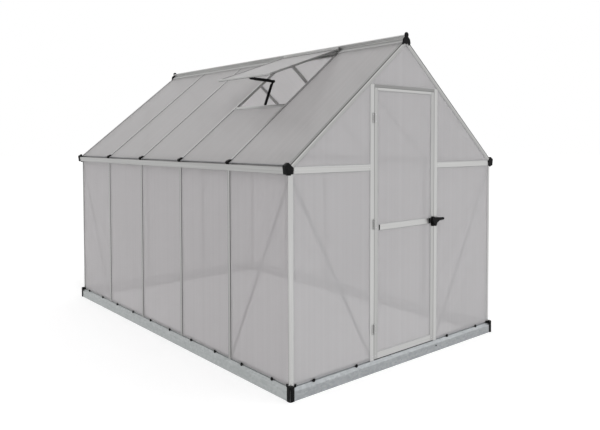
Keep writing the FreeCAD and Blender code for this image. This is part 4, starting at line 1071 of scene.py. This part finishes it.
@dataclass
class Gables:
    """Rakes, rails, posts, jambs and sheets of the two ends."""

    screw: float = 2.8 * MM
    screws: tuple[Pair, ...] = ((915, 1224), (915, 100), (888, 1251.5))
    front_screws: tuple[Pair, ...] = ((293, 1745), (293, 96), (326, 1251.5))
    rear_screws: tuple[Pair, ...] = (
        (300, 100), (300, 1746), (321, 1251.5), (279, 1251.5)
    )  # X and height of each in millimetres, all three made on both sides
    jamb_gasket_top: float = 1749 * MM
    post_gasket_gap: float = 5 * MM  # below the rakes
    rail_tuck: float = 5 * MM  # the gaskets over a rail end this much before those under it
    rake_start: float = 8 * MM  # from the rail's end
    rake_break: float = 6 * MM  # in the rakes' gaskets, at a jamb or post
    rake_stop: float = 16 * MM  # from the middle of the house
    stop_y: float = -1504.1 * MM  # back faces of the door's stop seals
    jamb_seal: float = 274.6 * MM
    jamb_seal_top: float = 1726 * MM
    lintel_seal: Pair = (283 * MM, 1726.9 * MM)  # half length and height

    def build(self) -> None:
        """Adds gaskets, the door's stop seals, and the screws at the joints."""
        for end, name in ((FRONT, "front_gable_gaskets"), (REAR, "rear_gable_gaskets")):
            self.add_gable_gaskets(end, name)
        self.add_stop_seals()
        add_screws("gable_screws", self.screw_spots(), self.screw)

    def uprights(self, end: int) -> list[tuple[float, int, float, float]]:
        """Lists the upright gaskets of one half of a gable.

        Args:
            end: FRONT or REAR.

        Returns:
            Each one's X, the way it faces, its foot and its top.
        """
        low = (HOUSE.sheet_foot + GASKET_FOOT, HOUSE.eave_bottom - GASKET_GAP)
        over = HOUSE.eave_bottom + HOUSE.rail_height + GASKET_GAP
        edges = [(HOUSE.half_width - HOUSE.corner_leg, -1, *low)]
        if end == FRONT:
            x = HOUSE.jamb_out
            return [*edges, (x, 1, *low), (x, 1, over, self.jamb_gasket_top)]
        for step in BOTH:
            x = HOUSE.rear_post + step * HOUSE.bar_half
            top = HOUSE.under_rake(x) - self.post_gasket_gap
            edges += [(x, step, *low), (x, step, over, top)]
        return edges

    def levels(self, end: int) -> list[tuple[float, float, float, int]]:
        """Lists the level gaskets of a gable.

        Args:
            end: FRONT or REAR.

        Returns:
            Each one's two ends, its height and the way it faces.
        """
        low, high = HOUSE.eave_bottom, HOUSE.eave_bottom + HOUSE.rail_height
        if end == REAR:
            inner = HOUSE.rear_post + HOUSE.bar_half + GASKET_ROOM
            middle = HOUSE.rear_post - HOUSE.bar_half - GASKET_ROOM
            runs = [(-middle, middle, low, -1), (-middle, middle, high, 1)]
        else:
            inner, half = HOUSE.jamb_out + GASKET_ROOM, HOUSE.jamb_in - GASKET_GAP
            runs = [(-half, half, HOUSE.jamb_top, 1)]
        for side in BOTH:
            runs.append((side * inner, side * HOUSE.rail_end, low, -1))
            runs.append((side * inner, side * (HOUSE.rail_end - self.rail_tuck), high, 1))
        return runs

    def add_gable_gaskets(self, end: int, name: str) -> None:
        """Adds a gable's wedge gaskets.

        Args:
            end: FRONT or REAR.
            name: Name of the piece.
        """
        out, depth = rearwards(end), HOUSE.sheet_in
        strips = []
        for x, step, foot, top in self.uprights(end):
            for side in BOTH:
                ends = [HOUSE.gable(end, side * x, depth, z) for z in (foot, top)]
                strips.append((ends, rightwards(side * step), out))
        for x0, x1, z, step in self.levels(end):
            strips.append(([HOUSE.gable(end, x, depth, z) for x in (x0, x1)], upwards(step), out))
        split = HOUSE.jamb_out + GASKET_ROOM if end == FRONT else HOUSE.rear_post
        spans = (HOUSE.rail_end - self.rake_start, split), (split - self.rake_break, self.rake_stop)
        for side in BOTH:
            for span in spans:
                ends = [HOUSE.gable(end, side * x, depth, HOUSE.under_rake(x)) for x in span]
                strips.append((ends, -HOUSE.roof_out(side), out))
        add_gaskets(name, strips, GASKET[Run.UP])

    def add_stop_seals(self) -> None:
        """Adds the flat seals that the door leaf closes against, on the jambs and the lintel."""
        outline = [(0.0, 0.0), (8.0, 0.0), (8.0, 1.0), (6.8, 1.5), (1.2, 1.5), (0.0, 1.0)]
        out, y = rearwards(-1.0), self.stop_y
        strips = []
        for side in BOTH:
            x, span = side * self.jamb_seal, (HOUSE.sheet_foot, self.jamb_seal_top)
            strips.append(([Vector((x, y, z)) for z in span], rightwards(side), out))
        half, z = self.lintel_seal
        strips.append(([Vector((side * half, y, z)) for side in BOTH], upwards(1.0), out))
        shape = lay_strips(outline, strips)
        add_piece("door_stop_seals", shape, "frame", RUBBER[Run.UP])

    def screw_spots(self) -> list[Spot]:
        """Gives the spots of the screws where posts, rails, jambs and lintel meet.

        Returns:
            The spots, on the gables' outer faces.
        """
        return [
            (HOUSE.gable(end, side * x * MM, 0.0, z * MM), rearwards(end))
            for end, own in ((FRONT, self.front_screws), (REAR, self.rear_screws))
            for x, z in self.screws + own
            for side in BOTH
        ]

    def dress(self) -> None:
        """Finishes the gables' pieces."""
        # painted highlight and shade on the rakes, painted light on rails, posts and jambs, painted
        # shade on the lintel
        paint(RAKE, "front_rakes", "rear_rakes")
        paint(LIGHT_PAINTED[Run.ACROSS], "front_eave_rails", "rear_eave_rails")
        paint(SHADED[Run.ACROSS], "door_lintel")
        paint(LIGHT_PAINTED[Run.UP], "rear_posts", "hinge_jamb", "latch_jamb")
        paint(GABLE_SHEET, "front_panels", "rear_panels")


@dataclass
class Roof:
    """Ridge, bars, clips and sheets of the roof, and the sill under the vent."""

    tape_leg: float = 6.0 * MM
    tape_gap: float = 0.4 * MM
    nut_down: float = 31 * MM
    nut_off: float = -21.9 * MM  # from the slope's outer face
    cap_face: float = 7.3 * MM  # the ridge caps stand this far outside the gables
    cap_screw: float = 3.6 * MM
    cap_screw_height: float = 2060 * MM
    vent_bay: tuple[int, int] = (1, LEFT)  # counted from 0 at the door gable

    def build(self) -> None:
        """Adds gaskets, the sheets' end tapes and the ridge's bolts and screws."""
        self.add_roof_gaskets()
        self.add_end_tapes()
        nuts = [
            (HOUSE.roof(side, self.nut_down, self.nut_off, y), -HOUSE.roof_out(side))
            for side in BOTH
            for y in HOUSE.bar_lines
        ]
        add_nuts("ridge_nuts", nuts)
        spots = [
            (HOUSE.gable(end, 0.0, -self.cap_face, self.cap_screw_height), rearwards(end))
            for end in BOTH
        ]
        add_screws("ridge_cap_screws", spots, self.cap_screw, black=True)

    def bays(self) -> list[Pair]:
        """Gives each bay's clear span between its bars' faces.

        Returns:
            The five spans, from the door gable.
        """
        edge = HOUSE.half_length - HOUSE.corner_leg
        starts = [-edge] + [y + HOUSE.bar_half for y in HOUSE.bar_lines]
        ends = [y - HOUSE.bar_half for y in HOUSE.bar_lines] + [edge]
        return list(zip(starts, ends))

    def add_roof_gaskets(self) -> None:
        """Adds the wedge gaskets beside the bars and rakes, under the ridge and below the sill."""
        depth, foot = -HOUSE.sheet_in, HOUSE.roof_sheet_end - self.tape_leg
        beside, under_ridge = [], []
        for bay, span in enumerate(self.bays()):
            for side in BOTH:
                out, down = HOUSE.roof_out(side), HOUSE.roof_down(side)
                top = HOUSE.sill_end if (bay, side) == self.vent_bay else HOUSE.ridge_flange
                for y, step in zip(span, INWARDS):
                    ends = [HOUSE.roof(side, s, depth, y) for s in (top + GASKET_ROOM, foot)]
                    beside.append((ends, rearwards(step), out))
                under_ridge.append(([HOUSE.roof(side, top, depth, y) for y in span], down, out))
        add_gaskets("roof_gaskets", beside, RUBBER[Run.SLOPE])
        add_gaskets("ridge_gaskets", under_ridge, GASKET[Run.ALONG])

    def add_end_tapes(self) -> None:
        """Adds the channel that closes each roof sheet's flutes; its mid grey is a painted shadow line.
        """
        leg = -self.tape_leg / MM
        outline = [(leg, 0.6), (0.7, 0.6), (1.0, 0.3), (1.0, -4.3), (0.7, -4.6), (leg, -4.6)]
        outline += [(leg, -4.1), (0.1, -4.1), (0.1, 0.1), (leg, 0.1)]
        strips = []
        for bay in self.bays():
            for side in BOTH:
                span = [y + step * self.tape_gap for y, step in zip(bay, INWARDS)]
                ends = [HOUSE.roof(side, HOUSE.roof_sheet_end, -HOUSE.sheet_in, y) for y in span]
                strips.append((ends, HOUSE.roof_down(side), HOUSE.roof_out(side)))
        shape = lay_strips(outline, strips)
        add_piece("roof_sheet_end_tapes", shape, "frame", TAPE)

    def dress(self) -> None:
        """Finishes the roof's pieces."""
        # painted light on the ridge and the right-hand bars, whose insides show through the vent
        paint(MATT_LIGHTENED, "ridge_beam")
        paint(ALUMINIUM[Run.ALONG], "vent_sill")
        paint(ALUMINIUM[Run.SLOPE], "roof_bars_left")
        paint(LIGHT_PAINTED[Run.SLOPE], "roof_bars_right")
        # painted shade: the roof's sheets wear their darker copy
        paint(ROOF_SHEET, "roof_panels_left", "roof_panels_right")
        paint(RESIN, "ridge_end_caps", "roof_bar_clips")


@dataclass
class Door:
    """The door leaf, its hinges, lever handle and sweep."""

    stile_edge: float = 252 * MM
    sheets: tuple[Pair, ...] = ((114 * MM, 866.5 * MM), (901.5 * MM, 1718.5 * MM))
    hinges: tuple[float, ...] = (260 * MM, 905.25 * MM, 1550.5 * MM)
    hinge_face: float = 1.9 * MM
    hinge_screw: float = 2.7 * MM
    hinge_screw_step: float = 20 * MM
    jamb_screw_x: float = -294.6 * MM
    leaf_screw_x: float = -270.6 * MM
    corner_screw: float = 2.5 * MM
    corner_x: float = 267 * MM
    corner_heights: tuple[float, ...] = (95 * MM, 1726 * MM)
    plate_face: float = 9.0 * MM
    plate_screw: float = 2.6 * MM
    plate_x: float = 270 * MM
    plate_heights: tuple[float, ...] = (853 * MM, 902.5 * MM)

    def build(self) -> None:
        """Adds the leaf's gaskets and the screws of its hinges, handle and corners."""
        self.add_leaf_gaskets()
        screws = [middle + step * self.hinge_screw_step for middle in self.hinges for step in BOTH]
        jamb = self.spots([self.jamb_screw_x], screws, self.hinge_face)
        leaf = self.spots([self.leaf_screw_x], screws, self.hinge_face)
        corners = self.spots([side * self.corner_x for side in BOTH], self.corner_heights, 0.0)
        plate = self.spots([self.plate_x], self.plate_heights, self.plate_face)
        add_screws("jamb_hinge_screws", jamb, self.hinge_screw)
        add_screws("door_hinge_screws", leaf, self.hinge_screw, "door")
        add_screws("leaf_corner_screws", corners, self.corner_screw, "door")
        add_screws("handle_plate_screws", plate, self.plate_screw, "door", black=True)

    def spots(self, across: Sequence[float], heights: Sequence[float], proud: float) -> list[Spot]:
        """Gives spots that face forwards, one at each height of each place across.

        Args:
            across: Places across the house.
            heights: Heights.
            proud: How far they stand outside the gable.

        Returns:
            The spots.
        """
        y = -HOUSE.half_length - proud
        return [(Vector((x, y, z)), rearwards(-1.0)) for x in across for z in heights]

    def add_leaf_gaskets(self) -> None:
        """Adds wedge gaskets round the leaf's two sheets."""
        strips = []
        for heights in self.sheets:
            strips += strips_round(
                lambda x, z: HOUSE.gable(FRONT, x, HOUSE.sheet_in, z),
                ((-self.stile_edge, self.stile_edge), heights),
                (rightwards(1.0), upwards(1.0)),
                rearwards(-1.0),
            )
        add_gaskets("door_gaskets", strips, GASKET[Run.UP], "door")

    def dress(self) -> None:
        """Finishes the door's pieces."""
        paint(ALUMINIUM[Run.UP], "door_hinge_stile", "door_latch_stile")
        # painted light on the rails
        paint(LIGHT_PAINTED[Run.ACROSS], "door_top_rail", "door_mid_rail", "door_bottom_rail")
        paint(GABLE_SHEET, "door_upper_panel", "door_lower_panel")
        paint(ALUMINIUM[Run.UP], "door_hinge_leaves", "jamb_hinge_leaves")
        paint(ZINC, "door_hinge_pins", "latch_spindle")
        paint(RESIN, "door_handle", "handle_back_plate", "door_rail_clips")
        paint(RUBBER[Run.ACROSS], "door_sweep")


@dataclass
class Vent:
    """The roof vent's sash and the two-link stay that props it open."""

    sheet_face: float = 12.3 * MM
    sash_top: float = 14.2 * MM
    lip: float = 16 * MM
    start: float = 17 * MM
    length: float = 645 * MM
    seal_off: float = 2.6 * MM  # the sash's underside, off the slope
    seal_in: float = 1.0 * MM
    seal_gap: float = 3 * MM
    sash_screw: float = 2.6 * MM
    sash_screw_in: Pair = (24 * MM, 8 * MM)  # down the slope and along the house
    sill_screw: float = 3.2 * MM
    sill_screw_in: float = 9 * MM
    sill_screw_up: float = 12 * MM
    grip_radius: float = 9.5 * MM
    grip_height: float = 7 * MM
    grip_ease: float = 1.2 * MM
    grip_lap: float = 0.05 * MM
    scallop: float = 0.08  # of the radius, both ways from the mean
    scallops: int = 4
    arm_half: float = 8 * MM
    pin_room: float = 24 * MM

    def build(self) -> None:
        """Adds the sash's gaskets and seals, its and the sill's screws, and the stay's extras."""
        self.add_sash_gaskets()
        self.add_seals()
        self.add_knee_grip()
        self.add_stiffeners()
        sill = [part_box("vent_sill")[k][1] + step * self.sill_screw_in for k, step in ((0, 1), (1, -1))]
        middle, out = HOUSE.sill_end - self.sill_screw_up, HOUSE.roof_out(LEFT)
        spots = [(HOUSE.roof(LEFT, middle, 0.0, y), out) for y in sill]
        add_screws("sill_screws", spots, self.sill_screw, black=True)
        down, along = self.sash_screw_in
        turn = HOUSE.open_vent()
        spots = [
            (turn @ HOUSE.roof(LEFT, s, self.sash_top, y), turn.to_3x3() @ out)
            for s in (self.start + down, self.length - down)
            for y in (HOUSE.vent_start + along, HOUSE.vent_end - along)
        ]
        add_screws("sash_screws", spots, self.sash_screw, "vent")

    def add_knee_grip(self) -> None:
        """Adds the scalloped grip that holds the knee's nut while the wing knob is turned."""
        low, high = (Vector(corner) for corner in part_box("stay_knee_nut"))
        shape = bmesh.new()
        made = bmesh.ops.create_circle(shape, cap_ends=True, segments=32, radius=self.grip_radius)
        face = made["verts"][0].link_faces[0]
        for vertex in made["verts"]:
            angle = math.atan2(vertex.co.y, vertex.co.x)
            vertex.co *= 1 - self.scallop + self.scallop * math.cos(self.scallops * angle)
        ease_rim(shape, raise_face(shape, face, upwards(self.grip_height)), self.grip_ease)
        foot = (low + high) / 2
        foot.y = high.y - self.grip_lap
        shape = repeat(shape, [(foot, rearwards(-1.0))])
        add_piece("stay_knee_grip", shape, "stay_upper", RESIN)

    def add_stiffeners(self) -> None:
        """Adds the pressed stiffener on the outer side of each stay arm, between its pins."""
        low, high = (Vector(corner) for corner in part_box("stay_knee_nut"))
        knee = (low + high) / 2
        pressed = [(-10.5, 0.0), (-10.5, 2.0), (-9.0, 3.0), (-5.5, 3.0), (-4.5, 1.6)]
        pressed += [(-across, out) for across, out in reversed(pressed)]
        for name, body, side in (("lower", "stay_lower", 1), ("upper", "stay_upper", -1)):
            low, high = (Vector(corner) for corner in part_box(f"stay_{name}_arm"))
            pin = Vector((low.x + self.arm_half, 0.0, low.z + self.arm_half))
            if name == "upper":
                pin.z = high.z - self.arm_half
            face = rearwards(high.y if side > 0 else low.y)
            run = Vector((knee.x, 0.0, knee.z)) - pin
            along, out = run.normalized(), rearwards(side)
            room = along * self.pin_room
            strip = ((pin + room + face, pin + run - room + face), along.cross(out), out)
            shape = lay_strips(pressed, [strip])
            add_piece(f"stay_{name}_stiffener", shape, body, COATED)

    def add_sash_gaskets(self) -> None:
        """Adds wedge gaskets round the sash's sheet."""
        strips = strips_round(
            lambda y, s: HOUSE.roof(LEFT, s, self.sheet_face, y),
            (
                (HOUSE.vent_start + self.lip, HOUSE.vent_end - self.lip),
                (self.start + self.lip, self.length - self.lip),
            ),
            (rearwards(1.0), HOUSE.roof_down(LEFT)),
            HOUSE.roof_out(LEFT),
        )
        self.hang("sash_gaskets", lay_strips(WEDGE_GASKET, strips))

    def add_seals(self) -> None:
        """Adds the bulb seals on the sash's lower edges, which land on the bars and the sill."""
        bulb = [(0.4, 0.0), (-0.4, 0.0), (-1.0, -0.5), (-1.2, -1.1), (-0.9, -1.8)]
        bulb += [(0.0, -2.1), (0.9, -1.8), (1.2, -1.1), (1.0, -0.5)]
        out, down = HOUSE.roof_out(LEFT), HOUSE.roof_down(LEFT)
        edges = (HOUSE.vent_start + self.seal_in, HOUSE.vent_end - self.seal_in)
        span = (HOUSE.ridge_flange + self.seal_gap, self.length - self.seal_gap)
        strips = [
            ([HOUSE.roof(LEFT, s, self.seal_off, y) for s in span], rearwards(1.0), out) for y in edges
        ]
        foot = self.length - self.seal_in
        strips.append(([HOUSE.roof(LEFT, foot, self.seal_off, y) for y in edges], down, out))
        self.hang("sash_seals", lay_strips(bulb, strips))

    def hang(self, name: str, shape: Shape) -> None:
        """Turns a seal laid out on the shut vent to the open one, and adds it."""
        bmesh.ops.transform(shape, matrix=HOUSE.open_vent(), verts=shape.verts)
        add_piece(name, shape, "vent", RUBBER[Run.SLOPE])

    def dress(self) -> None:
        """Finishes the vent's and the stay's pieces."""
        # painted light on the hinge bar, painted shade on the bottom and side bars
        paint(LIGHT_PAINTED[Run.ALONG], "vent_hinge_bar")
        paint(SHADE_PAINTED[Run.ALONG], "vent_bottom_bar")
        paint(SHADED[Run.SLOPE], "vent_side_bars")
        paint(ROOF_SHEET, "vent_panel")
        paint(COATED, "stay_lower_arm", "stay_upper_arm", "stay_sill_bracket", "stay_vent_bracket")
        paint(ZINC, "stay_knee_nut")
        paint(RESIN, "stay_wing_knob")


# --- studio -------------------------------------------------------------------------------------


def seen_directly(tree: Tree) -> Node:
    """Tells rays that show the background from rays that carry light.

    Args:
        tree: Node tree that takes the nodes.

    Returns:
        A node that gives 1 for camera, glossy and transmission rays, and 0 for the others.
    """
    path = add_node(tree, "LightPath").outputs
    shown = path["Is Camera Ray"]
    for name in ("Is Glossy Ray", "Is Transmission Ray"):
        shown = add_node(tree, "Math", {0: shown, 1: path[name]}, operation="MAXIMUM")
    return shown


@dataclass(frozen=True)
class StudioFloor(Finish):
    """Matt white studio floor, which keeps shadows and meets the background without an edge."""

    colour: str = "#E6E6E6"
    lift: float = 0.34

    def surface(self, tree: Tree) -> Node:
        """Builds a matt shader that glows a little to the eye, in mirrors and through glass.

        Args:
            tree: Empty node tree of the material.

        Returns:
            The shader.
        """
        matt = add_node(tree, "BsdfDiffuse", {"Color": linear(self.colour), "Roughness": 0.0})
        shown = {0: seen_directly(tree), 1: self.lift}
        strength = add_node(tree, "Math", shown, operation="MULTIPLY")
        glow = add_node(tree, "Emission", {"Strength": strength})
        return add_node(tree, "AddShader", {0: matt, 1: glow})


def look_back(azimuth: float, elevation: float) -> Vector:
    """Gives the direction from the house to a lamp or camera.

    Args:
        azimuth: Angle round the house from the door gable, in radians.
        elevation: Angle above the horizon, in radians.

    Returns:
        The direction.
    """
    level = math.cos(elevation)
    return Vector((math.sin(azimuth) * level, -math.cos(azimuth) * level, math.sin(elevation)))


@dataclass
class Studio:
    """Plain pale floor, soft lamps, white background and the camera."""

    floor_half: float = 60.0
    ambient: float = 0.72
    key: tuple[float, float, float] = (0.9, -25, 48)  # watts per square metre, azimuth, elevation
    fill: tuple[float, float, float] = (0.25, 60, 35)
    softness: float = math.radians(40)
    camera_place: tuple[float, float, float] = (-2.950, -4.140, 1.405)
    camera_azimuth: float = math.radians(-41.79)
    camera_elevation: float = math.radians(2.08)
    sensor: float = 36.0  # millimetres wide
    focal: float = 36.996
    shift: Pair = (-0.0551667, -0.0843333)  # of the sensor, as shares of its width

    def build(self) -> None:
        """Sets up floor, background, lamps, camera and colour management."""
        self.lay_floor()
        self.hang_background()
        self.add_sun("key_lamp", *self.key)
        self.add_sun("fill_lamp", *self.fill)
        self.place_camera()
        bpy.context.scene.view_settings.view_transform = "Standard"

    def lay_floor(self) -> None:
        """Lays the floor at the height on which the house stands."""
        mesh = bpy.data.meshes.new("studio_floor")
        shape = bmesh.new()
        bmesh.ops.create_grid(shape, x_segments=1, y_segments=1, size=self.floor_half)
        shape.to_mesh(mesh)
        shape.free()
        floor = bpy.data.objects.new("studio_floor", mesh)
        mesh.materials.append(StudioFloor("studio_floor").material())
        bpy.context.scene.collection.objects.link(floor)

    def hang_background(self) -> None:
        """Makes a white background that lights the house less than it shows."""
        world = bpy.data.worlds.new("studio_background")
        world.use_nodes = True
        tree = world.node_tree
        tree.nodes.clear()
        spread = {"Value": seen_directly(tree), "To Min": self.ambient, "To Max": 1.0}
        strength = add_node(tree, "MapRange", spread)
        light = {"Color": (1.0, 1.0, 1.0, 1.0), "Strength": strength}
        add_node(tree, "OutputWorld", {"Surface": add_node(tree, "Background", light)})
        bpy.context.scene.world = world

    def add_sun(self, name: str, strength: float, azimuth: float, elevation: float) -> None:
        """Adds one far, soft lamp.

        Args:
            name: Name of the lamp.
            strength: Strength in watts per square metre.
            azimuth: Degrees round the house from the door gable, as a camera's.
            elevation: Degrees above the horizon.
        """
        lamp = bpy.data.lights.new(name, "SUN")
        lamp.energy, lamp.angle = strength, self.softness
        back = look_back(math.radians(azimuth), math.radians(elevation))
        holder = bpy.data.objects.new(name, lamp)
        holder.rotation_euler = back.to_track_quat("Z", "Y").to_euler()
        bpy.context.scene.collection.objects.link(holder)

    def place_camera(self) -> None:
        """Puts the camera at eye height, in front of the left corner."""
        camera = bpy.data.cameras.new("camera")
        camera.sensor_width, camera.lens = self.sensor, self.focal
        camera.shift_x, camera.shift_y = self.shift
        back = look_back(self.camera_azimuth, self.camera_elevation)
        holder = bpy.data.objects.new("camera", camera)
        holder.location = self.camera_place
        holder.rotation_mode = "QUATERNION"
        holder.rotation_quaternion = (-back).to_track_quat("-Z", "Y")
        bpy.context.scene.collection.objects.link(holder)
        bpy.context.scene.camera = holder


def main() -> None:
    """Builds the studio and dresses each sub-assembly in turn."""
    logging.basicConfig(level=logging.INFO, format="%(name)s: %(message)s")
    Studio().build()
    for assembly in (BaseFrame(), Walls(), Gables(), Roof(), Door(), Vent()):
        assembly.build()
        assembly.dress()
        LOG.info("%s is done", type(assembly).__name__)


if __name__ == "__main__":
    main()
